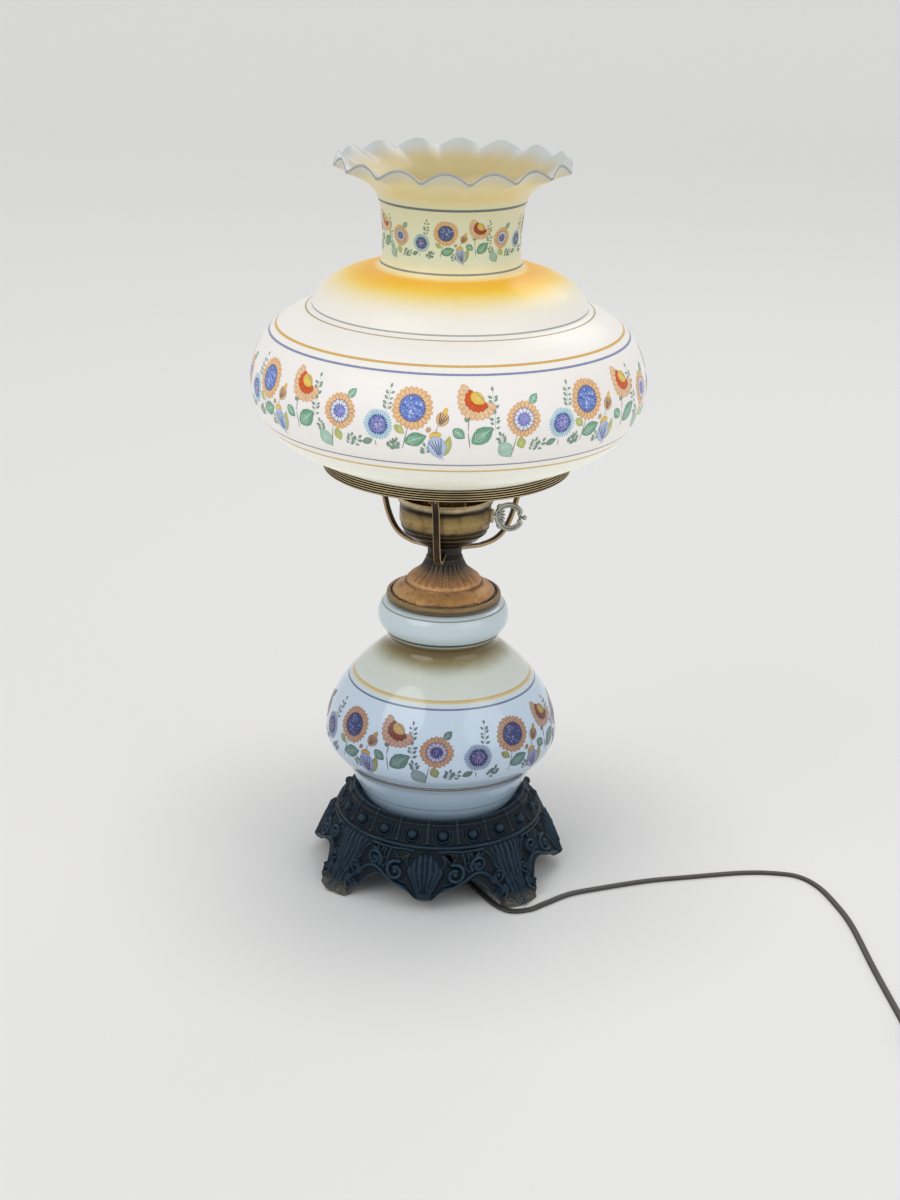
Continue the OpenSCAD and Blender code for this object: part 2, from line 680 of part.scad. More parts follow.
// Level direction across the cord at point i.
function across(p, i) =
    let (d = p[min(i + 1, len(p) - 1)] - p[max(i - 1, 0)], level = [d.x, d.y])
    norm(level) > 1 ? unit([-level.y, level.x, 0]) : [sin(90 - lead_turn), cos(90 - lead_turn), 0];
function cord_ring(p, i) =
    let (d = unit(p[min(i + 1, len(p) - 1)] - p[max(i - 1, 0)]), s = across(p, i), u = cross(s, d))
    [for (k = [0 : cord_sides - 1]) let (a = k * 360 / cord_sides)
        p[i] + cord_w / 2 * cos(a) * s + cord_t / 2 * sin(a) * u];

module riser_cord() {
    color([0.15, 0.11, 0.08]) rotate(lead_turn) translate([0, 0, bush_z])
        linear_extrude(body_z - 1.4 - bush_z) {
            square([cord_w - cord_t, cord_t], center = true);
            for (s = [-1, 1]) translate([s * (cord_w - cord_t) / 2, 0]) circle(d = cord_t);
        }
}

module cord_run() {
    rings = len(cord_line);
    color([0.15, 0.11, 0.08]) polyhedron(
        points = [for (i = [0 : rings - 1]) each cord_ring(cord_line, i)],
        faces = concat(
            [[for (k = [cord_sides - 1 : -1 : 0]) k]],
            [for (i = [0 : rings - 2], k = [0 : cord_sides - 1])
                let (n = (k + 1) % cord_sides, a = i * cord_sides, b = a + cord_sides)
                each [[a + k, a + n, b + n], [a + k, b + n, b + k]]],
            [[for (k = [0 : cord_sides - 1]) (rings - 1) * cord_sides + k]]), convexity = 10);
}

module cord_coil() {
    color([0.15, 0.11, 0.08]) translate([coil_x, coil_y, 0]) rotate_extrude()
        translate([coil_r - bundle_w / 2, 0]) square([bundle_w, bundle_h]);
}

plug_w = 22;
plug_t = 12;
plug_l = 28;
blade_gap = 12.7;
blade_w = 6.35;
blade_t = 1.5;
blade_l = 17;

module plug_body() {
    color([0.15, 0.11, 0.08]) translate([coil_x, coil_y - coil_r, bundle_h]) difference() {
        linear_extrude(plug_t) polygon([[0, -5], [6, -plug_w / 2], [plug_l, -plug_w / 2],
            [plug_l, plug_w / 2], [6, plug_w / 2], [0, 5]]);
        for (s = [-1, 1]) translate([plug_l - 6, s * blade_gap / 2 - blade_t / 2, (plug_t - blade_w) / 2])
            cube([7, blade_t, blade_w]);
    }
}

module plug_blades() {
    color([0.78, 0.68, 0.40]) translate([coil_x, coil_y - coil_r, bundle_h])
        for (s = [-1, 1])
            translate([plug_l - 6, s * blade_gap / 2 - blade_t / 2, (plug_t - blade_w) / 2])
                cube([6 + blade_l, blade_t, blade_w]);
}

base_casting();
base_washer();
base_locknut();
cord_bushing();
lamp_pipe();
seat_gasket();
font_glass();
cap_gasket();
vase_cap();
arm_hub();
arm_front();
arm_right();
arm_left();
shade_ring();
burner_cup();
cup_locknut();
socket_cap();
socket_shell();
socket_liner();
socket_body();
screw_shell();
centre_contact();
terminal_screws();
key_bush();
turn_key();
bulb_tip();
bulb_base();
bulb_glass();
shade_glass();
riser_cord();
cord_run();
cord_coil();
plug_body();
plug_blades();
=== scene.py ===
import bpy
import json
import math
import random
import numpy as np
from mathutils import Matrix, Vector

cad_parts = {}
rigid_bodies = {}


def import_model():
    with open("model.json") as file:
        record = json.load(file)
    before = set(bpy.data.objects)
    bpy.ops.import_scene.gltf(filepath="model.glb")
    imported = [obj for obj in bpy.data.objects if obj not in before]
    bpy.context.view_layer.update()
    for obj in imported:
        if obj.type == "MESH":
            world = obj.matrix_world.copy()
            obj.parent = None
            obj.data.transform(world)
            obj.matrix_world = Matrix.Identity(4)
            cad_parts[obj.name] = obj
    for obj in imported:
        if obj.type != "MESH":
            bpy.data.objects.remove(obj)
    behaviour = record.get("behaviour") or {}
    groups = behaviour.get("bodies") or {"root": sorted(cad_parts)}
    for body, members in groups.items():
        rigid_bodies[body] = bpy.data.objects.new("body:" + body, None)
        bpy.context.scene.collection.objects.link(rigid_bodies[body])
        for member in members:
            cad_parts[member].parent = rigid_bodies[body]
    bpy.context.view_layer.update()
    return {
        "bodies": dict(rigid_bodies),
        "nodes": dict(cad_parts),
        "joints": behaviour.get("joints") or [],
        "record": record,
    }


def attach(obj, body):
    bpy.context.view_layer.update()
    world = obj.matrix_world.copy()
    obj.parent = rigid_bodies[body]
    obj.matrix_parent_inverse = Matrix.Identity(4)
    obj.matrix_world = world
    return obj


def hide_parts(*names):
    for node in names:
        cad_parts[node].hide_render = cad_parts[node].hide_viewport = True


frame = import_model()
nodes = frame["nodes"]
mm = 0.001
random.seed(7)
print("frame loaded:", len(nodes), "nodes")


# Small helpers for selecting, editing and finishing a mesh.

def leaveEdit():
    bpy.ops.object.mode_set(mode="OBJECT")


def clearSelection():
    if bpy.context.object and bpy.context.object.mode != "OBJECT":
        leaveEdit()
    bpy.ops.object.select_all(action="DESELECT")


def pick(obj):
    clearSelection()
    bpy.context.view_layer.objects.active = obj
    obj.select_set(True)


def editAll(obj):
    pick(obj)
    bpy.ops.object.mode_set(mode="EDIT")
    bpy.ops.mesh.select_all(action="SELECT")


def editFaces(obj, chosen):
    # Opens the mesh with only the chosen faces selected.
    editAll(obj)
    bpy.ops.mesh.select_mode(type="FACE")
    bpy.ops.mesh.select_all(action="DESELECT")
    leaveEdit()
    for face in obj.data.polygons:
        face.select = chosen(face)
    bpy.ops.object.mode_set(mode="EDIT")


def normalsOut(obj):
    editAll(obj)
    bpy.ops.mesh.normals_make_consistent(inside=False)
    leaveEdit()


def flipNormals(obj):
    editAll(obj)
    bpy.ops.mesh.flip_normals()
    leaveEdit()


def applyPlace(obj):
    pick(obj)
    bpy.ops.object.transform_apply(location=True, rotation=True, scale=True)


def addModifier(obj, kind, **values):
    pick(obj)
    mod = obj.modifiers.new(kind.lower(), kind)
    for key, value in values.items():
        setattr(mod, key, value)
    bpy.ops.object.modifier_apply(modifier=mod.name)


def roundEdges(obj, width, segments, degrees=30):
    addModifier(obj, "BEVEL", width=width * mm, segments=segments, limit_method="ANGLE",
                angle_limit=math.radians(degrees))


def joinAll(name, pieces):
    clearSelection()
    for piece in pieces:
        piece.select_set(True)
    bpy.context.view_layer.objects.active = pieces[0]
    if len(pieces) > 1:
        bpy.ops.object.join()
    joined = bpy.context.object
    joined.name = joined.data.name = name
    return joined


def smoothShade(obj, degrees=40):
    pick(obj)
    bpy.ops.object.shade_smooth_by_angle(angle=math.radians(degrees))


def turnMatrix(degrees, axis="Z"):
    return Matrix.Rotation(math.radians(degrees), 4, axis)


def moveMatrix(x, y, z=0):
    return Matrix.Translation((x, y, z))


def placed(shape, x, y, turn=0.0, size=1.0):
    # A copy with its own mesh.
    twin = shape.copy()
    twin.data = shape.data.copy()
    bpy.context.collection.objects.link(twin)
    twin.data.transform(moveMatrix(x, y) @ turnMatrix(turn) @ Matrix.Diagonal((size, size, 1, 1)))
    return twin


def cylinderAt(radius, depth, x, y, z, vertices, tilt=(0, 0, 0)):
    clearSelection()
    bpy.ops.mesh.primitive_cylinder_add(vertices=vertices, radius=radius * mm, depth=depth * mm,
                                        location=(x * mm, y * mm, z * mm), rotation=tilt)
    applyPlace(bpy.context.object)
    return bpy.context.object


def cutAway(obj, cutter):
    addModifier(obj, "BOOLEAN", operation="DIFFERENCE", object=cutter, solver="EXACT")
    bpy.data.objects.remove(cutter)


def smoothLine(points, steps):
    # A soft curve through the points, each stretch in so many steps.
    line = []
    for i in range(len(points) - 1):
        a, b = Vector(points[max(i - 1, 0)]), Vector(points[i])
        c, d = Vector(points[i + 1]), Vector(points[min(i + 2, len(points) - 1)])
        for k in range(steps):
            t = k / steps
            line.append(0.5 * (2 * b + (c - a) * t + (2 * a - 5 * b + 4 * c - d) * t * t
                               + (3 * b - a - 3 * c + d) * t ** 3))
    return line + [Vector(points[-1])]


def beside(line, i, far):
    # The point that lies so far to the left of the line's own point.
    along = (line[min(i + 1, len(line) - 1)] - line[max(i - 1, 0)]).normalized()
    return line[i] + far * Vector((-along.y, along.x))


def wallLine(line, thick):
    # The closed outline of a wall that lies on the left of the line.
    return line + [beside(line, i, thick) for i in range(len(line))][::-1] + [line[0]]


def drawLine(points):
    # One vertex extruded from point to point; the mesh stays open for editing.
    clearSelection()
    bpy.ops.mesh.primitive_plane_add(size=mm, location=(0, 0, 0))
    bpy.ops.object.mode_set(mode="EDIT")
    bpy.ops.mesh.select_mode(type="VERT")
    bpy.ops.mesh.merge(type="CENTER")
    spots = [p * mm for p in points]
    bpy.ops.transform.translate(value=spots[0])
    for last, here in zip(spots, spots[1:]):
        bpy.ops.mesh.extrude_region_move(TRANSFORM_OT_translate={"value": here - last})
    bpy.ops.mesh.select_all(action="SELECT")
    return bpy.context.object


def spinLine(name, line, steps):
    # The outline, as radius and height, spun about the lamp's axis.
    obj = drawLine([Vector((r, 0, z)) for r, z in line])
    bpy.ops.mesh.spin(steps=steps, angle=2 * math.pi, center=(0, 0, 0), axis=(0, 0, 1))
    bpy.ops.mesh.select_all(action="SELECT")
    bpy.ops.mesh.remove_doubles(threshold=0.01 * mm)
    bpy.ops.mesh.normals_make_consistent(inside=False)
    leaveEdit()
    outer = max(obj.data.polygons, key=lambda f: math.hypot(f.center.x, f.center.y))
    if outer.normal.x * outer.center.x + outer.normal.y * outer.center.y < 0:
        flipNormals(obj)
    obj.name = obj.data.name = name
    return obj


def finishPiece(obj, body, material, replaced=()):
    obj.data.materials.clear()
    obj.data.materials.append(material)
    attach(obj, body)
    if replaced:
        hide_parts(*replaced)
    return obj


# Shader nodes: an input that is another node's output is linked, and any other is set.

def feed(tree, node, inputs):
    for key, value in inputs.items():
        socket = node.inputs[key]
        if isinstance(value, bpy.types.NodeSocket):
            tree.links.new(value, socket)
        elif socket.type == "RGBA":
            socket.default_value = (*value, 1)
        else:
            socket.default_value = value


def put(tree, kind, inputs, **settings):
    node = tree.nodes.new("ShaderNode" + kind)
    for key, value in settings.items():
        setattr(node, key, value)
    feed(tree, node, inputs)
    return node


def objectPlace(tree):
    return put(tree, "TexCoord", {}).outputs["Object"]


def heightOf(tree):
    return put(tree, "SeparateXYZ", {"Vector": objectPlace(tree)}).outputs["Z"]


def attribute(tree, name, output="Fac"):
    return put(tree, "Attribute", {}, attribute_name=name).outputs[output]


def noise(tree, scale, detail, rough=0.5):
    return put(tree, "TexNoise", {"Vector": objectPlace(tree), "Scale": scale, "Detail": detail,
                                  "Roughness": rough}).outputs["Fac"]


def ranged(tree, value, start, stop, low=0.0, high=1.0, soft=False):
    return put(tree, "MapRange", {"Value": value, "From Min": start, "From Max": stop, "To Min": low,
                                  "To Max": high},
               interpolation_type="SMOOTHSTEP" if soft else "LINEAR").outputs["Result"]


def maths(tree, operation, *values):
    return put(tree, "Math", dict(enumerate(values)), operation=operation).outputs[0]


def blend(tree, share, a, b, mode="MIX"):
    return put(tree, "Mix", {"Factor": share, "A": a, "B": b}, data_type="RGBA",
               blend_type=mode).outputs["Result"]


def scaled(tree, colour, share):
    return put(tree, "VectorMath", {0: colour, "Scale": share}, operation="SCALE").outputs["Vector"]


def dented(tree, height, strength, distance):
    return put(tree, "Bump", {"Height": height, "Strength": strength, "Distance": distance * mm}
               ).outputs["Normal"]


def colourRamp(tree, share, stops, kind="LINEAR"):
    ramp = put(tree, "ValToRGB", {"Fac": share})
    ramp.color_ramp.interpolation = kind
    marks = ramp.color_ramp.elements
    while len(marks) < len(stops):
        marks.new(0.5)
    for mark, (at, colour) in zip(marks, stops):
        mark.position = at
        mark.color = (*colour, 1)
    return ramp.outputs["Color"]


def newGroup(name, inputs, outputs):
    # A node group with named sockets, a colour where the value is one and else a number.
    group = bpy.data.node_groups.new(name, "ShaderNodeTree")
    for label, value in inputs.items():
        kind = "NodeSocketColor" if isinstance(value, tuple) else "NodeSocketFloat"
        socket = group.interface.new_socket(name=label, in_out="INPUT", socket_type=kind)
        socket.default_value = (*value, 1) if isinstance(value, tuple) else value
    for label in outputs:
        kind = "NodeSocketColor" if label == "Colour" else "NodeSocketFloat"
        group.interface.new_socket(name=label, in_out="OUTPUT", socket_type=kind)
    return group, group.nodes.new("NodeGroupInput").outputs, group.nodes.new("NodeGroupOutput")


def useGroup(tree, group, inputs):
    return put(tree, "Group", inputs, node_tree=group).outputs


def newMaterial(name, colour, rough, further=None):
    material = bpy.data.materials.new(name)
    material.use_nodes = True
    shader = material.node_tree.nodes["Principled BSDF"]
    feed(material.node_tree, shader, {"Base Color": colour, "Roughness": rough, **(further or {})})
    return material, material.node_tree, shader


def paint(red, green, blue):
    # A paint's colour from its everyday 0 to 255 values.
    return tuple(((c / 255 + 0.055) / 1.055) ** 2.4 if c > 10 else c / 255 / 12.92
                 for c in (red, green, blue))


# Camera, floor and light.

cameraPlace = {"distance": 1.6384, "height": 0.8561, "aroundLamp": 6.15, "turn": -0.19,
               "down": 20.69, "roll": 1.39, "lens": 62.51}
stageFacts = {"floor": (0.62, 0.60, 0.57), "seenFloor": (0.86, 0.85, 0.83), "glow": (0.93, 0.925, 0.91),
              "glowFrom": 0.08, "glowTo": 0.34, "glowShare": 0.52, "sky": (0.46, 0.47, 0.5),
              "seenSky": (0.72, 0.72, 0.71)}
lampLights = [
    {"name": "keyLight", "from": (-1.5, -1.7, 2.0), "size": 2.2, "power": 21},
    {"name": "fillLight", "from": (1.9, -1.2, 1.3), "size": 2.2, "power": 11},
    {"name": "backLight", "from": (0.6, 1.8, 2.2), "size": 1.8, "power": 12},
]


def addCamera(place):
    bpy.ops.object.camera_add()
    camera = bpy.context.object
    camera.data.lens = place["lens"]
    camera.data.sensor_width = 36
    camera.data.clip_end = 50
    around = math.radians(place["aroundLamp"])
    spot = Vector((math.sin(around), -math.cos(around), 0)) * place["distance"]
    spot.z = place["height"]
    camera.matrix_world = (Matrix.Translation(spot) @ turnMatrix(place["aroundLamp"] + place["turn"])
                           @ turnMatrix(90 - place["down"], "X") @ turnMatrix(place["roll"]))
    bpy.context.scene.camera = camera


def seenDirectly(tree):
    # 1 for the camera, for gloss and through glass.
    path = put(tree, "LightPath", {}).outputs
    either = maths(tree, "MAXIMUM", path["Is Camera Ray"], path["Is Glossy Ray"])
    return maths(tree, "MAXIMUM", either, path["Is Transmission Ray"])


def floorMaterial(facts):
    # The floor shows its pale colour where it is seen, and keeps the plain shadow close to the lamp.
    material, tree, shader = newMaterial("paleFloor", facts["floor"], 0.6)
    seen = seenDirectly(tree)
    feed(tree, shader, {"Base Color": blend(tree, seen, facts["floor"], facts["seenFloor"])})
    away = put(tree, "VectorMath", {0: objectPlace(tree)}, operation="LENGTH").outputs["Value"]
    fade = ranged(tree, away, facts["glowFrom"], facts["glowTo"], 0, facts["glowShare"], soft=True)
    glow = put(tree, "Emission", {"Color": facts["glow"]})
    both = put(tree, "MixShader", {"Fac": maths(tree, "MULTIPLY", seen, fade),
                                   1: shader.outputs["BSDF"], 2: glow.outputs["Emission"]})
    feed(tree, tree.nodes["Material Output"], {"Surface": both.outputs["Shader"]})
    return material


def addFloor():
    # A plane whose far edge is drawn up into a rounded backdrop.
    clearSelection()
    bpy.ops.mesh.primitive_plane_add(size=1, location=(0, 1.5, -0.0002))
    floor = bpy.context.object
    floor.name = "floor"
    bpy.ops.object.mode_set(mode="EDIT")
    bpy.ops.transform.resize(value=(9, 7, 1))
    bpy.ops.mesh.select_all(action="DESELECT")
    leaveEdit()
    for edge in floor.data.edges:
        edge.select = all(floor.data.vertices[v].co.y > 1 for v in edge.vertices)
    for vert in floor.data.vertices:
        vert.select = vert.co.y > 1
    bpy.ops.object.mode_set(mode="EDIT")
    bpy.ops.mesh.extrude_region_move(TRANSFORM_OT_translate={"value": (0, 0, 4)})
    leaveEdit()
    roundEdges(floor, 1200, 12)
    applyPlace(floor)
    smoothShade(floor)
    floor.data.materials.append(floorMaterial(stageFacts))


def addLights():
    for row in lampLights:
        bpy.ops.object.light_add(type="AREA", location=row["from"])
        light = bpy.context.object
        light.name = row["name"]
        light.data.energy = row["power"]
        light.data.shape = "DISK"
        light.data.size = row["size"]
        away = Vector((0, 0, 0.3)) - light.location
        light.rotation_euler = away.to_track_quat("-Z", "Y").to_euler()
    # the sky lights softly, and shows paler behind the floor
    world = bpy.data.worlds.new("studio")
    bpy.context.scene.world = world
    world.use_nodes = True
    tree = world.node_tree
    tone = blend(tree, seenDirectly(tree), stageFacts["sky"], stageFacts["seenSky"])
    feed(tree, tree.nodes["Background"], {"Color": tone, "Strength": 1})


bpy.context.scene.view_settings.view_transform = "Standard"
addCamera(cameraPlace)
addFloor()
addLights()
print("camera, floor and light are in place")


# Metals.

def makeAgedMetal():
    # Two tones mixed by soft patches, darker in the hollows as painted shade and paler on the edges, with
    # fine grain.
    group, given, out = newGroup("agedMetal", {
        "Tone": (0.3, 0.22, 0.12), "Dark": (0.05, 0.04, 0.03), "Worn": (0.5, 0.4, 0.25),
        "Patch Size": 40.0, "Patch Share": 0.5, "Edge Wear": 0.5, "Smooth": 0.3, "Rough": 0.5,
        "Grain": 0.3}, ("Colour", "Roughness", "Height"))
    softness = 0.14
    patch = ranged(group, noise(group, given["Patch Size"], 6, 0.65),
                   maths(group, "SUBTRACT", given["Patch Share"], softness),
                   maths(group, "ADD", given["Patch Share"], softness), soft=True)
    body = blend(group, patch, given["Dark"], given["Tone"])
    point = put(group, "NewGeometry", {}).outputs["Pointiness"]
    edge = maths(group, "MULTIPLY", ranged(group, point, 0.51, 0.60), given["Edge Wear"])
    worn = blend(group, edge, body, given["Worn"])
    # painted shade: the hollows are darkened
    hollowShade = ranged(group, point, 0.40, 0.50, 0.35)
    rough = put(group, "Mix", {"Factor": patch, "A": given["Rough"], "B": given["Smooth"]})
    grain = maths(group, "MULTIPLY", noise(group, 900, 3), given["Grain"])
    feed(group, out, {"Colour": blend(group, 1.0, worn, hollowShade, "MULTIPLY"),
                      "Roughness": rough.outputs["Result"], "Height": maths(group, "ADD", grain, patch)})
    return group


agedMetal = makeAgedMetal()


def metalMaterial(name, tone, dark, worn, size=40, share=0.5, wear=0.5, smooth=0.3, rough=0.5,
                  grain=0.3, metal=0.9, bump=0.15):
    material, tree, shader = newMaterial(name, tone, rough, {"Metallic": metal})
    aged = useGroup(tree, agedMetal, {"Tone": tone, "Dark": dark, "Worn": worn, "Patch Size": size,
                                      "Patch Share": share, "Edge Wear": wear, "Smooth": smooth,
                                      "Rough": rough, "Grain": grain})
    feed(tree, shader, {"Base Color": aged["Colour"], "Roughness": aged["Roughness"],
                        "Normal": dented(tree, aged["Height"], bump, 0.4)})
    return material


plainBrass = metalMaterial("plainBrass", (0.72, 0.55, 0.26), (0.45, 0.33, 0.15), (0.85, 0.72, 0.45),
                           size=30, share=0.35, wear=0.3, smooth=0.2, rough=0.35)
plainSteel = metalMaterial("plainSteel", (0.55, 0.55, 0.53), (0.30, 0.30, 0.29), (0.75, 0.75, 0.73),
                           size=30, share=0.35, wear=0.3, smooth=0.25, rough=0.4)


# Plastic, rubber, felt and glazed ware.

def makeMottle():
    # Two tones and a roughness that follow soft patches, with a finer grain to dent the surface.
    group, given, out = newGroup("mottle", {
        "Tone": (0.5, 0.5, 0.5), "Second Tone": (0.4, 0.4, 0.4), "Patch Size": 45.0, "Patch Detail": 5.0,
        "Grain Size": 1500.0, "Grain Detail": 3.0, "Rough From": 0.3, "Rough To": 0.5},
        ("Colour", "Roughness", "Height"))
    patch = noise(group, given["Patch Size"], given["Patch Detail"])
    feed(group, out, {"Colour": blend(group, patch, given["Tone"], given["Second Tone"]),
                      "Roughness": ranged(group, patch, 0, 1, given["Rough From"], given["Rough To"]),
                      "Height": noise(group, given["Grain Size"], given["Grain Detail"])})
    return group


mottle = makeMottle()


def mottledMaterial(name, tone, second, patch, grain, rough, bump, further=None):
    material, tree, shader = newMaterial(name, tone, rough[0], further)
    mottled = useGroup(tree, mottle, {
        "Tone": tone, "Second Tone": second, "Patch Size": patch[0], "Patch Detail": patch[1],
        "Grain Size": grain[0], "Grain Detail": grain[1], "Rough From": rough[0], "Rough To": rough[1]})
    feed(tree, shader, {"Base Color": mottled["Colour"], "Roughness": mottled["Roughness"],
                        "Normal": dented(tree, mottled["Height"], bump, 0.1)})
    return material, tree, shader


def rubberMaterial(name, colour, rough):
    # Moulded plastic with a faint grain and a little dust.
    dusty = tuple(0.6 * c + 0.05 for c in colour)
    return mottledMaterial(name, colour, dusty, (45, 5), (1500, 3), (rough - 0.08, rough + 0.12), 0.12)[0]


def ceramicMaterial(name, colour, rough, further=None):
    # Glazed or moulded ware: mottled, with fine pits.
    dark, pale = tuple(0.8 * c for c in colour), tuple(min(1, 1.12 * c) for c in colour)
    return mottledMaterial(name, dark, pale, (120, 4), (120, 4), (rough - 0.08, rough + 0.14), 0.15, further)


brownVinyl = rubberMaterial("brownVinyl", (0.022, 0.014, 0.010), 0.34)
blackFelt = rubberMaterial("blackFelt", (0.018, 0.018, 0.018), 0.8)
brownBakelite = rubberMaterial("brownBakelite", (0.030, 0.014, 0.008), 0.3)


# Cord and plug.

cordFacts = {"width": 5.6, "thick": 2.8, "leadTurn": 32, "leadPoints": 10, "groove": 126, "coilX": 418,
             "coilY": -250, "coilRadius": 26, "coilStart": 180, "turns": 7.25, "coilSteps": 264,
             "bundleHigh": 11.6, "turnStep": 315, "firstShift": 335, "shift": 50, "endShift": 95,
             "endRise": 6, "upright": 0.35}

# The route from the bushing to the coil, in millimetres, as the solid of the cord runs.
cordRoute = [(0, 0, 36.5), (0, 0, 26), (3, -5, 14), (9, -14, 6), (18, -28, 2), (28, -45, 1.4),
             (40, -63, 1.4), (51, -79, 1.4), (61, -91, 1.4), (73, -98, 1.4), (88, -93, 1.4),
             (101, -80, 1.4), (120, -61, 1.4), (145, -47, 1.4), (184, -28, 1.4), (221, -15, 1.4),
             (268, 0, 1.4), (298, 3, 1.4), (316, -1, 1.4), (331, -17, 1.4), (344, -46, 1.4),
             (355, -81, 1.4), (368, -149, 1.4), (382, -215, 1.4), (389.15, -250, 1.4)]


def eased(t):
    # A soft step from 0 to 1.
    return 0.5 - 0.5 * math.cos(math.pi * min(max(t, 0), 1))


def coilLine(facts):
    # Eight slots, two side by side and four high; each slot is left a little sooner than the last.
    half, thick = facts["width"] / 2 + 0.05, facts["thick"]
    side = [1, -1, -1, 1, 1, -1, -1, 1]
    level = [0, 0, 1, 1, 2, 2, 3, 3]
    turnsEnd = facts["turns"] * 360
    points = []
    for i in range(1, facts["coilSteps"] + 1):
        total = turnsEnd * i / facts["coilSteps"]
        out, up = side[0] * half, level[0] * thick
        for k in range(len(side) - 1):
            t = eased((total - facts["firstShift"] - k * facts["turnStep"]) / facts["shift"] + 0.5)
            out += (side[k + 1] - side[k]) * half * t
            up += (level[k + 1] - level[k]) * thick * t
        # at the end the cord rises from the bundle to the plug
        last = eased((total - turnsEnd + facts["endShift"]) / facts["endShift"])
        out -= half * last
        up += (facts["bundleHigh"] + facts["endRise"] - thick / 2 - level[-1] * thick) * last
        angle = math.radians(facts["coilStart"] + total)
        reach = facts["coilRadius"] + out
        points.append(Vector((facts["coilX"] + reach * math.cos(angle),
                              facts["coilY"] + reach * math.sin(angle), thick / 2 + up)))
    return points


def twinProfile(facts):
    # Two round leads side by side, with a groove where they join.
    r, count = facts["thick"] / 2, facts["leadPoints"]
    half = []
    for k in range(count):
        a = math.radians(-facts["groove"] + 2 * facts["groove"] * k / (count - 1))
        half.append((facts["width"] / 2 - r + r * math.cos(a), r * math.sin(a)))
    return half + [(-x, -z) for x, z in half]


def cordMesh(name, path, facts):
    # The profile carried along the path; an upright stretch keeps the last direction across.
    profile = twinProfile(facts)
    lead = math.radians(90 - facts["leadTurn"])
    across = Vector((math.sin(lead), math.cos(lead), 0))
    verts, faces = [], []
    n = len(profile)
    for i, p in enumerate(path):
        along = (path[min(i + 1, len(path) - 1)] - path[max(i - 1, 0)]).normalized()
        flat = Vector((-along.y, along.x, 0))
        if flat.length > facts["upright"]:
            across = flat.normalized() if flat.dot(across) >= 0 else -flat.normalized()
        up = across.cross(along).normalized()
        for x, z in profile:
            verts.append((p + across * x + up * z) * mm)
        for k in range(n if i else 0):
            a, b = (i - 1) * n, i * n
            faces.append((a + k, a + (k + 1) % n, b + (k + 1) % n, b + k))
    faces.append(tuple(range(n))[::-1])
    faces.append(tuple((len(path) - 1) * n + k for k in range(n)))
    data = bpy.data.meshes.new(name)
    data.from_pydata(verts, [], faces)
    obj = bpy.data.objects.new(name, data)
    bpy.context.collection.objects.link(obj)
    normalsOut(obj)
    smoothShade(obj, 50)
    return obj


route = smoothLine([Vector(p) for p in cordRoute], 5)
for point in route:
    point.z = max(point.z, cordFacts["thick"] / 2)
cordPath = route + coilLine(cordFacts)
cord = cordMesh("mainsCord", cordPath, cordFacts)
finishPiece(cord, "stand", brownVinyl, ("cord_run", "cord_coil"))

# Each step of the plug's body: how far it is drawn out, and its shares of the width and height.
plugFacts = {"high": 12, "nib": (0.6, 7.5, 6.5), "nibShift": 0.4, "edge": 1.1,
             "steps": [(5.5, 1.25, 1.1), (3, 1.9, 1.55), (2.5, 1.22, 1.08), (1.6, 1, 1), (1.2, 0.95, 0.96),
                       (1.6, 1.053, 1.042), (1.6, 0.95, 0.96), (1.6, 1.053, 1.042), (1.6, 0.95, 0.96),
                       (1.6, 1.053, 1.042), (5.2, 1, 1), (0.6, 0.93, 0.9)]}


def makePlug(facts):
    # A body that narrows to the cord, with grip ribs, drawn out step by step from its nib. Each step
    # takes the whole block at the end and not only its last face, so the body is doubled inside.
    start = Vector((cordFacts["coilX"], cordFacts["coilY"] - cordFacts["coilRadius"],
                    cordFacts["bundleHigh"] + facts["high"] / 2))
    clearSelection()
    bpy.ops.mesh.primitive_cube_add(size=1, location=(0, 0, 0))
    obj = bpy.context.object
    bpy.ops.object.mode_set(mode="EDIT")
    bpy.ops.transform.resize(value=[side * mm for side in facts["nib"]])
    bpy.ops.transform.translate(value=(start + Vector((facts["nibShift"], 0, 0))) * mm)
    leaveEdit()
    for far, wide, high in facts["steps"]:
        end = max(v.co.x for v in obj.data.vertices) - 0.1 * mm
        for face in obj.data.polygons:
            face.select = face.normal.x > 0.9 and face.center.x > end
        bpy.ops.object.mode_set(mode="EDIT")
        bpy.ops.mesh.select_mode(type="FACE")
        bpy.ops.mesh.extrude_region_move(TRANSFORM_OT_translate={"value": (far * mm, 0, 0)})
        bpy.ops.transform.resize(value=(1, wide, high), center_override=start * mm)
        leaveEdit()
    obj.name = obj.data.name = "plugBody"
    roundEdges(obj, facts["edge"], 4, 50)
    smoothShade(obj, 35)
    return obj


plug = makePlug(plugFacts)
finishPiece(plug, "stand", brownVinyl, ("plug_body",))


# Opal glass, painted by the run along its outline.

def runAlong(line):
    # Length along the outline at each of its points, in metres.
    far = [0.0]
    for a, b in zip(line, line[1:]):
        far.append(far[-1] + (b - a).length * mm)
    return far


def lengthAtHeight(line, height):
    # Length along the outline where it first reaches a height.
    far = runAlong(line)
    for i, (a, b) in enumerate(zip(line, line[1:])):
        if min(a.y, b.y) <= height <= max(a.y, b.y) and a.y != b.y:
            return far[i] + (far[i + 1] - far[i]) * (height - a.y) / (b.y - a.y)
    return far[-1]


def markRun(obj, line):
    # Each vertex keeps the run of the outline's point that it was spun from, or of the nearest one.
    far = runAlong(line)
    found = {(round(p.x, 2), round(p.y, 2)): s for p, s in zip(line, far)}
    layer = obj.data.attributes.new("run", "FLOAT", "POINT")
    for v in obj.data.vertices:
        spot = (round(math.hypot(v.co.x, v.co.y) / mm, 2), round(v.co.z / mm, 2))
        if spot not in found:
            near = min(range(len(line)), key=lambda i: math.dist(line[i], spot))
            found[spot] = far[near]
        layer.data[v.index].value = found[spot]


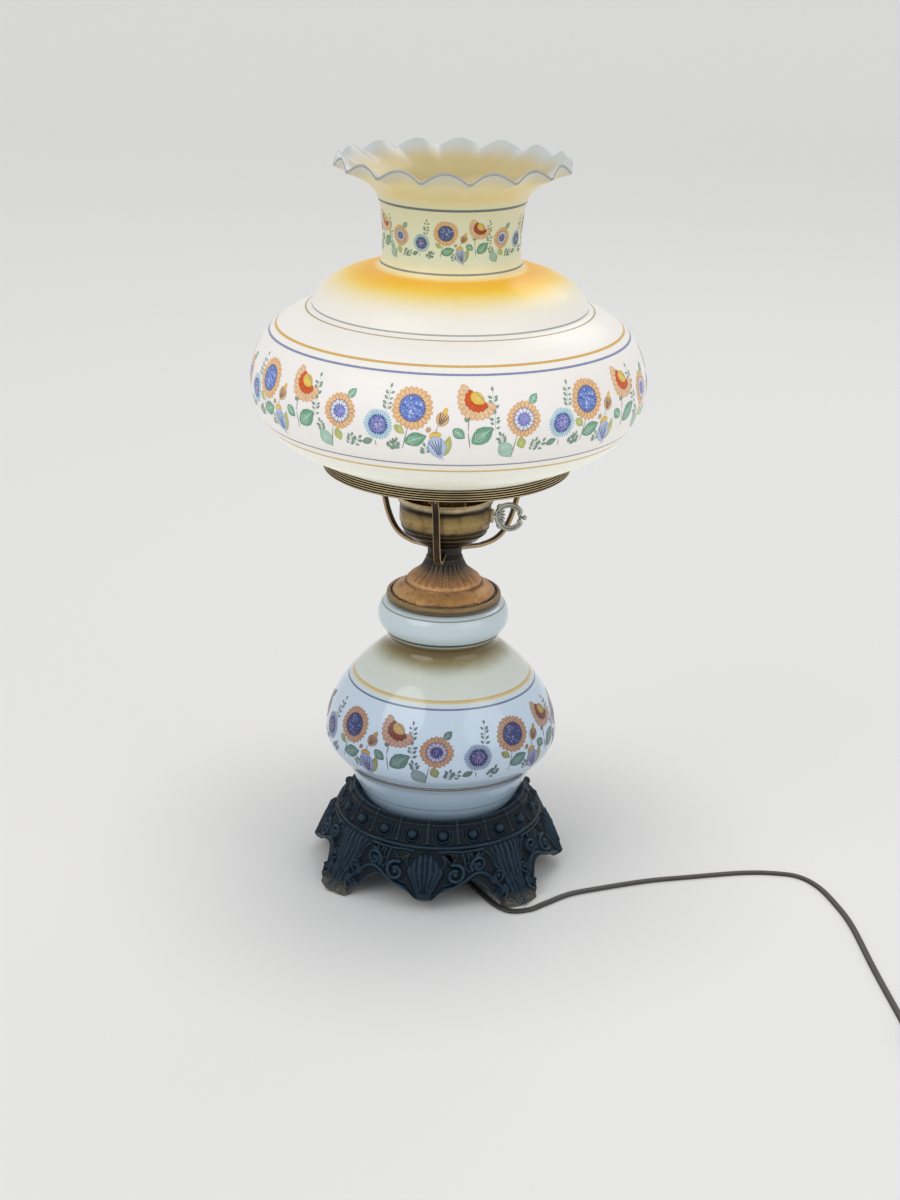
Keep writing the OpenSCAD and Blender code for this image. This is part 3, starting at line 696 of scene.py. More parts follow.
def makePaintedLine():
    # A mask that is 1 inside a slightly worn band, painted round the glass at a run along its outline.
    group, given, out = newGroup("paintedLine", {"Run": 0.0, "Place": 0.0, "Width": mm, "Soft": 0.3 * mm,
                                                 "Strength": 1.0}, ("Mask",))
    away = maths(group, "ABSOLUTE", maths(group, "SUBTRACT", given["Run"], given["Place"]))
    half = maths(group, "MULTIPLY", given["Width"], 0.5)
    band = ranged(group, away, half, maths(group, "ADD", half, given["Soft"]), 1, 0)
    worn = maths(group, "MULTIPLY", ranged(group, noise(group, 700, 2), 0.25, 0.5, 0.82), given["Strength"])
    feed(group, out, {"Mask": maths(group, "MULTIPLY", band, worn)})
    return group


def makeAirbrush():
    # A mask that rises softly, ends sharply, wanders a little and may be heavier at the two sides.
    group, given, out = newGroup("airbrush", {"Run": 0.0, "Start": 0.0, "Full": 0.01, "End": 0.02,
                                              "Strength": 1.0, "Sides": 0.0, "Uneven": 0.0}, ("Mask",))
    span = maths(group, "MULTIPLY", maths(group, "SUBTRACT", given["Full"], given["Start"]), given["Uneven"])
    drift = maths(group, "MULTIPLY", ranged(group, noise(group, 22, 4, 0.6), 0.3, 0.7, -1), span)
    rise = ranged(group, maths(group, "ADD", given["Run"], drift), given["Start"], given["Full"], 0,
                  given["Strength"], soft=True)
    fall = ranged(group, given["Run"], given["Full"], given["End"], 1, 0, soft=True)
    across = put(group, "SeparateXYZ", {"Vector": objectPlace(group)}).outputs["X"]
    heavy = ranged(group, maths(group, "ABSOLUTE", across), 0, 0.075,
                   maths(group, "SUBTRACT", 1, given["Sides"]), 1, soft=True)
    feed(group, out, {"Mask": maths(group, "MULTIPLY", maths(group, "MULTIPLY", rise, fall), heavy)})
    return group


paintedLine, airbrush = makePaintedLine(), makeAirbrush()


def paintedGlass(name, colour, ground, washes, lines, glow, rough=0.12, coat=0.4, gloss=0.5,
                 foot=(0.0, 0.01, 1.0)):
    # Ground colours blended along the run, then airbrushed washes, then thin lines.
    material, tree, shader = newMaterial(name, colour, rough, {
        "Coat Weight": coat, "Coat Roughness": 0.04, "Specular IOR Level": gloss, "Emission Strength": glow})
    run, far = attribute(tree, "run"), ground[-1][0]
    share = maths(tree, "DIVIDE", run, far)
    tone = colourRamp(tree, share, [(at / far, tint) for at, tint in ground], "EASE")
    for start, full, end, tint, strength, sides, uneven in washes:
        wash = useGroup(tree, airbrush, {"Run": run, "Start": start, "Full": full, "End": end,
                                         "Strength": strength, "Sides": sides, "Uneven": uneven})
        tone = blend(tree, wash["Mask"], tone, tint)
    for at, width, tint, strength in lines:
        band = useGroup(tree, paintedLine, {"Run": run, "Place": at, "Width": width * mm,
                                            "Strength": strength})
        tone = blend(tree, band["Mask"], tone, tint)
    # the glow is stronger towards the foot, where the lamp inside is near
    lift = ranged(tree, run, foot[0], foot[1], foot[2], 1, soft=True)
    feed(tree, shader, {"Base Color": tone, "Emission Color": scaled(tree, tone, lift),
                        "Normal": dented(tree, noise(tree, 22, 4, 0.6), 0.05, 0.6)})
    return material


shadeFacts = {"steps": 192, "wall": 3, "ruffles": 16, "rise": 8, "pull": 3, "turn": 13.9, "ruffledFrom": 582,
              "flareFrom": 66.5, "flareTo": 94.7, "rim": 1.2}

shadeLine = [Vector((99, 357.8))] + smoothLine(
    [(99, 364.6), (100, 366.6), (108, 369.4), (121.5, 375.6), (138, 385.4), (150.3, 400),
     (156.4, 412), (159.4, 430), (157, 445), (151.2, 460), (143, 470.4), (131, 480), (120, 485.6),
     (111.6, 488.6), (110.2, 491), (106.8, 498), (100, 506), (86, 513.6), (70, 518.4), (59.2, 520.6),
     (57.2, 523.4), (55.2, 530), (54.6, 542), (55.4, 556), (57.6, 570), (61.4, 579.6), (66.5, 585),
     (73.8, 589.6), (81, 593.2), (88, 595.8), (94.7, 597.5)], 4)


def makeShade(facts, materials):
    # The outer face spun and given its wall, then the flare's edge drawn up and in by ruffles.
    obj = spinLine("opalShade", shadeLine, facts["steps"])
    markRun(obj, shadeLine)
    for material in materials:
        obj.data.materials.append(material)
    addModifier(obj, "SOLIDIFY", thickness=facts["wall"] * mm, offset=-1, material_offset=1,
                material_offset_rim=2, use_even_offset=True)
    roundEdges(obj, facts["rim"], 3, 60)
    span = facts["flareTo"] - facts["flareFrom"]
    for v in obj.data.vertices:
        reach = math.hypot(v.co.x, v.co.y)
        if v.co.z < facts["ruffledFrom"] * mm:
            continue
        t = min(max((reach / mm - facts["flareFrom"] + 1) / span, 0), 1.05)
        around = math.atan2(v.co.x, -v.co.y) - math.radians(facts["turn"])
        lift = abs(math.sin(facts["ruffles"] / 2 * around)) * t * t
        shrink = 1 - facts["pull"] * mm * lift / reach
        v.co.x *= shrink
        v.co.y *= shrink
        v.co.z += facts["rise"] * mm * lift
    smoothShade(obj, 45)
    return obj


atShade = {name: lengthAtHeight(shadeLine, height) for name, height in
           {"thin": 374, "yellow": 395.6, "violet": 401.5, "belly": 430, "blue": 469, "ochre": 473,
            "step": 487.3, "stepTop": 490.2, "dome": 505, "neck": 521.5, "neckLow": 524.7,
            "neckHigh": 574}.items()}
shadeEnd = runAlong(shadeLine)[-1]

# A ground row is a run and a colour. A wash is where it starts, is full and ends, its colour and
# strength, how much heavier its sides are and how uneven it is. A line is its run, width, colour
# and strength.
opalPaint = paintedGlass(
    "opalPaint", paint(250, 247, 240),
    ground=[(0, paint(240, 243, 224)), (atShade["thin"], paint(248, 249, 232)),
            (atShade["belly"], paint(252, 248, 244)), (atShade["ochre"], paint(250, 246, 238)),
            (atShade["stepTop"], paint(247, 243, 234)), (atShade["dome"], paint(246, 240, 222)),
            (atShade["neck"], paint(240, 228, 180)), (atShade["neckLow"] + 0.012, paint(216, 222, 194)),
            (atShade["neckHigh"], paint(216, 214, 178)), (shadeEnd - 0.016, paint(228, 220, 176)),
            (shadeEnd - 0.007, paint(214, 212, 190)), (shadeEnd, paint(206, 208, 202))],
    washes=[(atShade["neck"] - 0.054, atShade["neck"] - 0.018, atShade["neckLow"] - 0.001,
             paint(252, 214, 72), 0.95, 0.0, 0.08),
            (atShade["neck"] - 0.034, atShade["neck"] - 0.006, atShade["neckLow"] - 0.001,
             paint(250, 184, 0), 1.0, 0.1, 0.1),
            (atShade["neckHigh"] + 0.002, atShade["neckHigh"] + 0.01, atShade["neckHigh"] + 0.028,
             paint(232, 212, 150), 0.5, 0, 0.2)],
    lines=[(atShade["thin"], 1.0, paint(150, 152, 128), 0.7),
           (atShade["yellow"], 1.7, paint(214, 176, 92), 0.95),
           (atShade["violet"], 1.3, paint(140, 136, 158), 0.95),
           (atShade["blue"], 1.7, paint(124, 132, 172), 0.95),
           (atShade["ochre"] + 0.0015, 2.0, paint(216, 170, 76), 0.95),
           (atShade["step"], 1.2, paint(150, 132, 84), 0.85),
           (atShade["stepTop"], 1.0, paint(134, 140, 130), 0.8),
           (atShade["neckLow"], 1.3, paint(112, 120, 116), 0.9),
           (atShade["neckHigh"], 1.9, paint(92, 102, 106), 0.95)],
    glow=0.17, rough=0.34, coat=0.08, gloss=0.3, foot=(atShade["thin"], atShade["belly"], 2.0))


def insideMaterial(name):
    # The unpainted inside of the shade, darker towards the neck and frosted near the rim, with a faint
    # painted glow of the lamp inside.
    material, tree, shader = newMaterial(name, paint(240, 232, 205), 0.25, {"Emission Strength": 0.1})
    high = ranged(tree, heightOf(tree), 0.53, 0.60, soft=True)
    edge = ranged(tree, attribute(tree, "run"), shadeEnd - 0.024, shadeEnd - 0.001, soft=True)
    warm = blend(tree, high, paint(222, 204, 152), paint(212, 192, 134))
    frosted = blend(tree, edge, warm, paint(212, 217, 214))
    tone = blend(tree, 0.18, frosted, noise(tree, 60, 5), "MULTIPLY")
    feed(tree, shader, {"Base Color": tone, "Emission Color": tone})
    return material


def rimMaterial(name):
    # The fire-polished edge: clearer glass with a frosted bloom.
    material, tree, shader = newMaterial(name, paint(216, 222, 222), 0.18,
                                         {"Transmission Weight": 0.6, "IOR": 1.45})
    bloom = blend(tree, noise(tree, 120, 5), paint(208, 214, 214), paint(232, 232, 226))
    feed(tree, shader, {"Base Color": bloom})
    return material


shade = makeShade(shadeFacts, (opalPaint, insideMaterial("opalInside"), rimMaterial("clearRim")))
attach(shade, "shade")
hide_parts("shade_glass")
print("shade has", len(shade.data.polygons), "faces")

fontFacts = {"steps": 160, "wall": 3}
fontLine = [Vector((36, 60.5))] + smoothLine(
    [(58, 60.5), (64, 62), (68.6, 70), (74, 80), (78.2, 90), (80.6, 95), (84.9, 100), (90.5, 106),
     (96, 114), (98, 124), (95.5, 140), (89.7, 155), (79.8, 170), (66.8, 185), (55.3, 195),
     (47.2, 202), (46, 208), (50, 214.5), (54, 221), (55, 227), (53.4, 234), (49, 238.5),
     (40, 239.5)], 4) + [Vector((36, 239.5))]


def makeFont(facts):
    obj = spinLine("opalFont", wallLine(fontLine, facts["wall"]), facts["steps"])
    normalsOut(obj)
    markRun(obj, fontLine)
    smoothShade(obj, 45)
    return obj


atFont = {name: lengthAtHeight(fontLine, height) for name, height in
          {"low": 76, "browns": 101, "grey": 171, "yellow": 175, "airbrush": 203, "waist": 208, "dark": 215,
           "collar": 227, "top": 237}.items()}
fontPaint = paintedGlass(
    "fontPaint", paint(205, 225, 240),
    ground=[(0, paint(160, 184, 204)), (atFont["low"], paint(170, 194, 213)),
            (atFont["browns"], paint(200, 220, 238)),
            (atFont["grey"], paint(206, 224, 240)), (atFont["yellow"], paint(218, 226, 218)),
            (atFont["airbrush"] - 0.02, paint(218, 224, 212)), (atFont["waist"], paint(160, 150, 100)),
            (atFont["dark"], paint(204, 220, 224)), (atFont["collar"], paint(212, 228, 234)),
            (runAlong(fontLine)[-1], paint(206, 218, 220))],
    # At the waist under the collar, the olive airbrush and the ground are darkened further as painted shade
    # in the groove.
    washes=[(atFont["waist"] - 0.024, atFont["waist"] - 0.001, atFont["waist"] + 0.0075,
             paint(122, 104, 44), 0.95, 0.1, 0.16),
            (atFont["waist"] - 0.011, atFont["waist"] + 0.001, atFont["waist"] + 0.0078,
             paint(90, 66, 10), 0.85, 0.0, 0.1)],
    lines=[(atFont["low"], 1.0, paint(120, 132, 140), 0.7),
           (atFont["browns"] + 0.0002, 1.7, paint(112, 84, 62), 0.95),
           (atFont["browns"] + 0.0022, 2.2, paint(206, 192, 164), 0.8),
           (atFont["browns"] + 0.0042, 1.4, paint(84, 84, 98), 0.95),
           (atFont["grey"], 1.4, paint(96, 112, 142), 0.95),
           (atFont["yellow"] + 0.0012, 2.8, paint(216, 194, 140), 0.9),
           (atFont["yellow"] + 0.0020, 1.0, paint(206, 172, 104), 0.9),
           (atFont["dark"], 2.5, paint(32, 36, 40), 0.95),
           (atFont["top"], 1.0, paint(110, 120, 120), 0.8)],
    # a faint painted glow, though the font holds no lamp
    glow=0.03)
font = finishPiece(makeFont(fontFacts), "stand", fontPaint, ("font_glass",))
print("font has", len(font.data.polygons), "faces")


# Painted garlands.

# The artwork is laid out flat, one unit to a millimetre, and is then wrapped round the glass, so many
# times to a turn. Each tone has a dark edge, a body and a pale middle.
petalColours = {tone: [paint(*c) for c in three] for tone, three in {
    "orange": ((196, 134, 84), (246, 190, 124), (254, 218, 172)),
    "pale": ((196, 128, 84), (250, 204, 150), (255, 226, 190)),
    "red": ((176, 62, 20), (224, 84, 28), (238, 112, 46)),
    "yellow": ((196, 150, 50), (250, 206, 84), (255, 222, 120)),
    "blueDisc": ((74, 96, 176), (112, 140, 214), (126, 154, 224)),
    "violetDisc": ((82, 92, 170), (138, 146, 212), (160, 166, 224)),
    "paleDisc": ((92, 98, 150), (206, 208, 232), (226, 228, 244)),
    "white": ((96, 110, 176), (234, 236, 248), (246, 246, 252)),
    "sky": ((150, 196, 220), (186, 222, 236), (206, 234, 242)),
    "leaf": ((82, 132, 102), (118, 176, 142), (136, 192, 156)),
    "paleLeaf": ((140, 184, 156), (180, 216, 194), (198, 228, 208)),
    "lime": ((150, 160, 74), (196, 204, 112), (216, 220, 146)),
    "sprig": ((112, 142, 124), (134, 164, 144), (150, 178, 158)),
    "stem": ((134, 142, 128), (146, 154, 138), (150, 158, 142)),
    "bud": ((126, 92, 74), (236, 190, 136), (246, 210, 164)),
    "bell": ((98, 120, 170), (196, 216, 244), (222, 234, 250)),
    "vein": ((196, 226, 206), (204, 232, 214), (210, 236, 220)),
    "darkLine": ((92, 72, 70), (98, 78, 74), (104, 84, 80)),
    "blueLine": ((66, 84, 148), (72, 92, 156), (78, 98, 162)),
}.items()}


def flatShape(long, wide, tone, corners=10, edge=0.35, tip=0.0, root=0.0, layer=1):
    # A flat shape that lies along +X from its root, in one of the tones above or in one plain colour.
    clearSelection()
    bpy.ops.mesh.primitive_circle_add(vertices=corners, radius=0.5, fill_type="NGON", location=(0, 0, 0))
    obj = bpy.context.object
    for v in obj.data.vertices:
        u = 2 * v.co.x
        narrow = 1 - tip * max(u, 0) ** 2 - root * max(-u, 0) ** 2
        v.co = Vector((v.co.x * long, v.co.y * wide * narrow, 0))
    editAll(obj)
    bpy.ops.mesh.select_mode(type="FACE")
    bpy.ops.mesh.inset(thickness=min(edge, 0.2 * wide), depth=0)
    bpy.ops.mesh.poke()
    bpy.ops.mesh.select_all(action="SELECT")
    bpy.ops.transform.translate(value=(long / 2, 0, 0.05 * layer))
    leaveEdit()
    colours = petalColours.get(tone) or [paint(*tone)] * 3
    tint = obj.data.color_attributes.new("paint", "FLOAT_COLOR", "POINT")
    for i, point in enumerate(tint.data):
        point.color = (*colours[min(i // corners, 2)], 1)
    return obj


def removeShapes(*shapes):
    for shape in shapes:
        bpy.data.objects.remove(shape)


def placeAll(parts, x, y, turn=0.0):
    for part in parts:
        part.data.transform(moveMatrix(x, y) @ turnMatrix(turn))
    return parts


def discOf(radius, tone, corners=22, edge=0.5, layer=3):
    return placeAll([flatShape(2 * radius, 2 * radius, tone, corners, edge, layer=layer)], -radius, 0)[0]


def thinLine(a, b, wide, tone="stem", layer=2):
    across, up = b[0] - a[0], b[1] - a[1]
    line = flatShape(math.hypot(across, up), wide, tone, 6, 0.1, layer=layer)
    return placeAll([line], *a, math.degrees(math.atan2(up, across)))[0]


def ovalAt(long, wide, tone, x, y, turn, layer):
    return placeAll([flatShape(long, wide, tone, tip=0.25, layer=layer)], x, y, turn)[0]


def petalRing(petal, start, stop, count, reach):
    # Petals whose roots lie on a circle about the flower's middle.
    made = []
    for k in range(count):
        turn = start + (stop - start) * k / count
        a = math.radians(turn)
        made.append(placed(petal, reach * math.cos(a), reach * math.sin(a), turn,
                           1 + 0.05 * math.sin(5.1 * k + start)))
    return made


def fullFlower(petal, count, reach, disc, start=0.0):
    return petalRing(petal, start, start + 360, count, reach) + [placed(disc, 0, 0)]


def dotsIn(radius, count, colours, size, layer=4):
    # Dots strewn evenly over a disc, each turn by the golden angle.
    shapes = [flatShape(size, size * 0.8, colour, 5, 0.1, layer=layer) for colour in colours]
    made = []
    for k in range(count):
        a, r = k * 2.39996, radius * math.sqrt((k + 0.5) / count)
        made.append(placed(shapes[random.randrange(len(shapes))], r * math.cos(a), r * math.sin(a),
                           random.uniform(0, 360), random.uniform(0.75, 1.25)))
    removeShapes(*shapes)
    return made


def dotRing(radius, count, size, layer=4):
    dot = flatShape(size, size, "blueLine", 6, 0.1, layer=layer)
    made = []
    for k in range(count):
        a = 2 * math.pi * k / count
        made.append(placed(dot, radius * math.cos(a), radius * math.sin(a), math.degrees(a)))
    removeShapes(dot)
    return made


def leafAt(x, y, long, wide, turn, tone, veins=4, layer=1):
    # A pointed leaf about its middle, with a midrib and paired side veins.
    made = [flatShape(long, wide, tone, 14, 0.4, tip=0.75, root=0.35, layer=layer)]
    if veins:
        made.append(thinLine((0.5, 0), (long - 0.6, 0), 0.75, "vein", layer + 1))
    for k in range(veins):
        root = long * (0.16 + 0.62 * k / veins)
        span = wide * 0.36 * (1 - 0.16 * k)
        for side in (-1, 1):
            made.append(thinLine((root, 0), (root + span * 0.8, side * span), 0.62, "vein", layer + 1))
    return placeAll(placeAll(made, -long / 2, 0), x, y, turn)


def sprigAt(x, y, high, lean, pairs):
    # A thin stalk with small leaflets in pairs.
    leaflet = flatShape(3.9, 2.3, "sprig", 6, 0.2, tip=0.5)
    made = [thinLine((0, 0), (0, high), 0.32, "sprig", 1)]
    for k in range(pairs):
        up = high * (0.12 + 0.8 * k / pairs)
        for side in (-1, 1):
            made.append(placed(leaflet, side * 0.9, up + random.uniform(-0.8, 0.8),
                               90 - side * random.uniform(35, 70), random.uniform(0.8, 1.15)))
    made.append(placed(leaflet, 0, high - 1.2, 90))
    removeShapes(leaflet)
    return placeAll(made, x, y, lean)


def budAt(x, y, long, wide, turn, tone, lineTone, stripes=4):
    # A closed bud from its root, with stripes that fan out to its mouth.
    made = [flatShape(long, wide, tone, 12, 0.4, root=0.4, layer=2)]
    for k in range(stripes):
        side = 2 * k / (stripes - 1) - 1
        made.append(thinLine((long * 0.1, side * wide * 0.06), (long * 0.9, side * wide * 0.36),
                             min(0.85, wide * 0.1), lineTone, 3))
    return placeAll(made, x, y, turn)


# Each flower is laid out about its own middle, with its stem, leaves and buds.

def bigFlower():
    petal = flatShape(7.9, 4.5, "orange", 10, 0.36, root=0.35, layer=2)
    disc = discOf(9.7, "blueDisc")
    made = [thinLine((-2.6, -13), (-7.5, -33), 0.8)]
    made += leafAt(3, -23.5, 18, 11.5, 20, "leaf", 5)
    made += leafAt(-9.6, -16.5, 10, 6, -38, "lime", 0)
    made += fullFlower(petal, 23, 8.4, disc, 4)
    made += dotRing(9.2, 30, 1.5)
    made += dotsIn(8.2, 66, ((168, 190, 242), (84, 110, 194), (206, 218, 250), (138, 166, 232),
                             (96, 120, 204)), 1.9)
    # the striped bud on the right
    made.append(thinLine((20, -12), (18, -19), 0.6))
    made += budAt(20.5, -12.5, 11.5, 10, 62, "bud", "darkLine")
    made.append(ovalAt(5.4, 3.6, "yellow", 24.2, -3.6, 62, 3))
    made += budAt(11.5, -17.5, 4.6, 3.6, 55, "bud", "darkLine", 2)
    # the blue bell with its yellow mouth and green side leaf
    made += leafAt(27.4, -28, 17, 6.5, 78, "lime", 0)
    made.append(ovalAt(9.5, 6.5, "yellow", 13.5, -20.8, 12, 1))
    made += budAt(22.5, -38.5, 19, 14.5, 107, "bell", "blueLine", 5)
    made.append(thinLine((22.5, -37), (21.5, -41), 0.45))
    made.append(thinLine((23, -37), (25, -41.5), 0.45))
    made += sprigAt(11.5, -35.5, 7.5, 12, 3)
    removeShapes(petal, disc)
    return made


def redFlower():
    outer = flatShape(9.2, 5.4, "pale", 10, 0.45, root=0.3, layer=2)
    inner = flatShape(7.4, 4.8, "red", 9, 0.4, root=0.3, layer=3)
    made = [thinLine((-6.5, -14), (-7.2, -24), 0.8), thinLine((-7.2, -23.6), (-5, -38), 0.8)]
    made += leafAt(-14, -25.5, 11.5, 8.4, -38, "leaf", 3)
    made += leafAt(4, -27, 20, 13.5, 38, "leaf", 6)
    made.append(ovalAt(5, 4.4, "sprig", -9, -16.5, 64, 1))
    made += petalRing(outer, 140, 350, 13, 7.0)
    made += petalRing(inner, 136, 344, 9, 2.6)
    made.append(ovalAt(12.5, 9.4, "yellow", -5, 4, -32, 4))
    made.append(thinLine((-1.5, 5.4), (6, -1.5), 0.8, "sprig", 5))
    made += sprigAt(13.6, -24, 14, 0, 3)
    made += sprigAt(13.2, -9, 16, 3, 3)
    removeShapes(outer, inner)
    return made


def mediumFlower():
    petal = flatShape(6.6, 4.0, "orange", 10, 0.34, root=0.3, layer=2)
    white = flatShape(4.6, 3.6, "white", 9, 0.4, root=0.3, layer=4)
    ring = discOf(8.4, "paleDisc", 20, 0.5, 3)
    disc = discOf(4.6, "violetDisc", 16, 0.4, 5)
    made = [thinLine((-5.5, -12), (-9, -32), 0.8)]
    made += leafAt(9, 14.6, 10.5, 6.6, 48, "leaf", 2)
    made += leafAt(-1.2, -18.5, 10, 7.6, -70, "lime", 0)
    made += leafAt(-13.5, -23.5, 16, 12.5, -52, "paleLeaf", 5)
    made += fullFlower(petal, 21, 7.2, ring, 7)
    made += fullFlower(white, 13, 3.9, disc, 0)
    made += dotRing(4.5, 15, 1.1, 6) + dotRing(8.3, 22, 0.9)
    made += dotsIn(3.9, 22, ((186, 180, 238), (80, 84, 180), (150, 156, 230)), 1.3, 6)
    made += sprigAt(8.2, -25.5, 9, -18, 4)
    made += sprigAt(12.5, -24, 8, -40, 2)
    made += sprigAt(-16, -18, 8, 20, 3)
    removeShapes(petal, white, ring, disc)
    return made


def daisyFlower():
    ray = flatShape(6.2, 2.0, "sky", 8, 0.25, root=0.3, layer=2)
    tooth = flatShape(2.6, 1.0, "blueLine", 6, 0.2, layer=3)
    disc = discOf(6.6, "violetDisc", 18, 0.9, 4)
    made = petalRing(ray, 0, 360, 30, 5.8) + fullFlower(tooth, 26, 5.6, disc, 6)
    made += dotRing(6.3, 20, 1.4, 5)
    made += dotsIn(5.4, 36, ((206, 190, 226), (84, 84, 178), (232, 214, 226), (150, 120, 170)), 1.35, 5)
    made.append(thinLine((-2.4, -12), (-2, -18), 0.7))
    made += leafAt(-8.8, -14, 9.5, 5.6, 24, "sprig", 0)
    made += sprigAt(8, -19, 8, -38, 3)
    made += sprigAt(12.5, -18.5, 8, -14, 3)
    made += sprigAt(6, 9.5, 20, -6, 4)
    removeShapes(ray, tooth, disc)
    return made


garlandFacts = {"repeat": 146, "flowers": (bigFlower, redFlower, mediumFlower, daisyFlower),
                "heights": (0, 7.5, -8.6, -14.5), "cell": 4.5, "columns": (-4, 34), "rows": (-10, 6),
                "offGlass": 0.1}


def flatGarland(name, stops, tint, deep, facts):
    # One repeat of the artwork, cut along a grid so that it can follow the glass.
    made = []
    for flower, stop, height in zip(facts["flowers"], stops, facts["heights"]):
        made += placeAll(flower(), stop * facts["repeat"], height)
    obj = joinAll(name, made)
    editAll(obj)
    for axis, (first, last) in enumerate((facts["columns"], facts["rows"])):
        for k in range(first, last):
            spot, way = [0, 0, 0], [0, 0, 0]
            spot[axis], way[axis] = facts["cell"] * k, 1
            bpy.ops.mesh.select_all(action="SELECT")
            bpy.ops.mesh.bisect(plane_co=spot, plane_no=way)
    leaveEdit()
    for point in obj.data.color_attributes["paint"].data:
        # where the glass is less lit, the print reads darker, and its reds and blues most of all
        strong = point.color[0] > 3.5 * point.color[1] or point.color[2] > 2.2 * point.color[0]
        point.color = (*(c * t * (deep if strong else 1) for c, t in zip(point.color, tint)), 1)
    return obj


def wrapGarland(name, flat, line, centre, start, repeats, tall, facts):
    # Across the artwork goes round the lamp, and up the artwork goes along the glass's outline.
    far = runAlong(line)
    parts = []
    for k in range(repeats):
        part = placed(flat, 0, 0)
        for v in part.data.vertices:
            s = centre + v.co.y * tall * mm
            i = max(j for j in range(len(far) - 1) if far[j] <= s)
            spot = line[i].lerp(line[i + 1], (s - far[i]) / (far[i + 1] - far[i]))
            slope = (line[i + 1] - line[i]).normalized()
            out = facts["offGlass"] + v.co.z * (0.6 + 0.4 * tall)
            r, z = spot.x + out * slope.y, spot.y - out * slope.x
            a = math.radians(start + (k + v.co.x / facts["repeat"]) * 360 / repeats)
            v.co = Vector((r * math.sin(a), -r * math.cos(a), z)) * mm
        parts.append(part)
    obj = joinAll(name, parts)
    smoothShade(obj, 30)
    return obj


def makeEnamelPrint():
    # Printed enamel: its own colours, slightly uneven, with a faint grain.
    group, given, out = newGroup("enamelPrint", {"Paint": (0.5, 0.5, 0.5), "Rough From": 0.16,
                                                 "Rough To": 0.36}, ("Colour", "Roughness", "Height"))
    uneven = ranged(group, noise(group, 260, 3), 0.3, 0.7, 0.86, 1.06)
    grain = noise(group, 1400, 2)
    feed(group, out, {"Colour": scaled(group, given["Paint"], uneven), "Height": grain,
                      "Roughness": ranged(group, grain, 0, 1, given["Rough From"], given["Rough To"])})
    return group


enamelPrint = makeEnamelPrint()


def enamelMaterial(name, glow, rough=0.22):
    material, tree, shader = newMaterial(name, (0.5, 0.5, 0.5), rough, {"Emission Strength": glow})
    printed = useGroup(tree, enamelPrint, {"Paint": attribute(tree, "paint", "Color"),
                                           "Rough From": rough - 0.06, "Rough To": rough + 0.14})
    feed(tree, shader, {"Base Color": printed["Colour"], "Emission Color": printed["Colour"],
                        "Roughness": printed["Roughness"],
                        "Normal": dented(tree, printed["Height"], 0.1, 0.1)})
    return material


# The print on the shade glows with painted light of the lamp inside; the print on the font has no glow.
litEnamel = enamelMaterial("litEnamel", 0.1)
plainEnamel = enamelMaterial("plainEnamel", 0.0)

# Each band: the run of its middle, where it starts, its repeats and scale, where its flowers stand, and how
# its colours are darkened as painted shade where the glass is less lit.
bands = [
    {"name": "shadeFlowers", "line": shadeLine, "centre": atShade["blue"] - 0.0264, "start": -3.45,
     "repeats": 7, "tall": 1.0, "stops": (0, 0.342, 0.592, 0.819), "tint": (1, 1, 1), "deep": 1,
     "finish": litEnamel, "body": "shade", "slot": "shade_glass"},
    {"name": "neckFlowers", "line": shadeLine, "centre": atShade["neckHigh"] - 0.018, "start": 1.35,
     "repeats": 4, "tall": 0.6, "stops": (0, 0.31, 0.545, 0.775), "tint": (0.72, 0.72, 0.66), "deep": 0.55,
     "finish": litEnamel, "body": "shade", "slot": "shade_glass"},
    {"name": "fontFlowers", "line": fontLine, "centre": atFont["grey"] - 0.027, "start": -44.1,
     "repeats": 4, "tall": 0.95, "stops": (0, 0.31, 0.54, 0.77), "tint": (0.52, 0.49, 0.66), "deep": 0.42,
     "finish": plainEnamel, "body": "stand", "slot": "font_glass"},
]

for band in bands:
    flat = flatGarland(band["name"] + "Flat", band["stops"], band["tint"], band["deep"], garlandFacts)
    garland = wrapGarland(band["name"], flat, band["line"], band["centre"], band["start"],
                          band["repeats"], band["tall"], garlandFacts)
    removeShapes(flat)
    finishPiece(garland, band["body"], band["finish"])
    print(band["name"], "has", len(garland.data.polygons), "faces")


# Base casting.

castFacts = {"wall": 4.5, "columns": 148, "rows": 92, "footReach": 3.6, "footSpan": 9.5, "footHigh": 24,
             "footFrom": 36, "footTop": 8, "footSoft": 5, "footWorn": 1.2, "apronReach": 65,
             "apronGuess": 15, "apronRounds": 6, "holeSnap": 0.55, "holeInside": 0.05,
             "soften": (0.25, 0.2), "sew": 0.05, "insideShare": 0.25, "reliefTop": 48.5}
castLine = smoothLine([(113, 0), (109, 7), (102, 18), (94, 33), (88, 47), (84, 52), (78, 62), (73, 68)], 8)
apronLine = smoothLine([(0, 9.5), (7, 10.5), (13, 14.5), (22, 18), (34, 23), (44, 23), (54, 15), (63, 6),
                        (65, -2)], 6)
castRun = [s / mm for s in runAlong(castLine)]
castRadii = [p.x for p in castLine]
castHeights = [p.y for p in castLine]

# Beads in double frames open at the top, the ribs between them and the balls under the ribs.
beadFacts = {"middles": (9, 27, 45), "height": 57, "radius": 4.1, "dome": 1.15, "wide": 0.95, "open": 6.2,
             "frames": ((6.0, 1.3), (8.4, 1.1)), "ribs": (0, 18, 36), "ribFrom": 52.5, "ribWide": 1.5,
             "ribHigh": 1.3, "ballHeight": 51.6, "ball": 1.9}
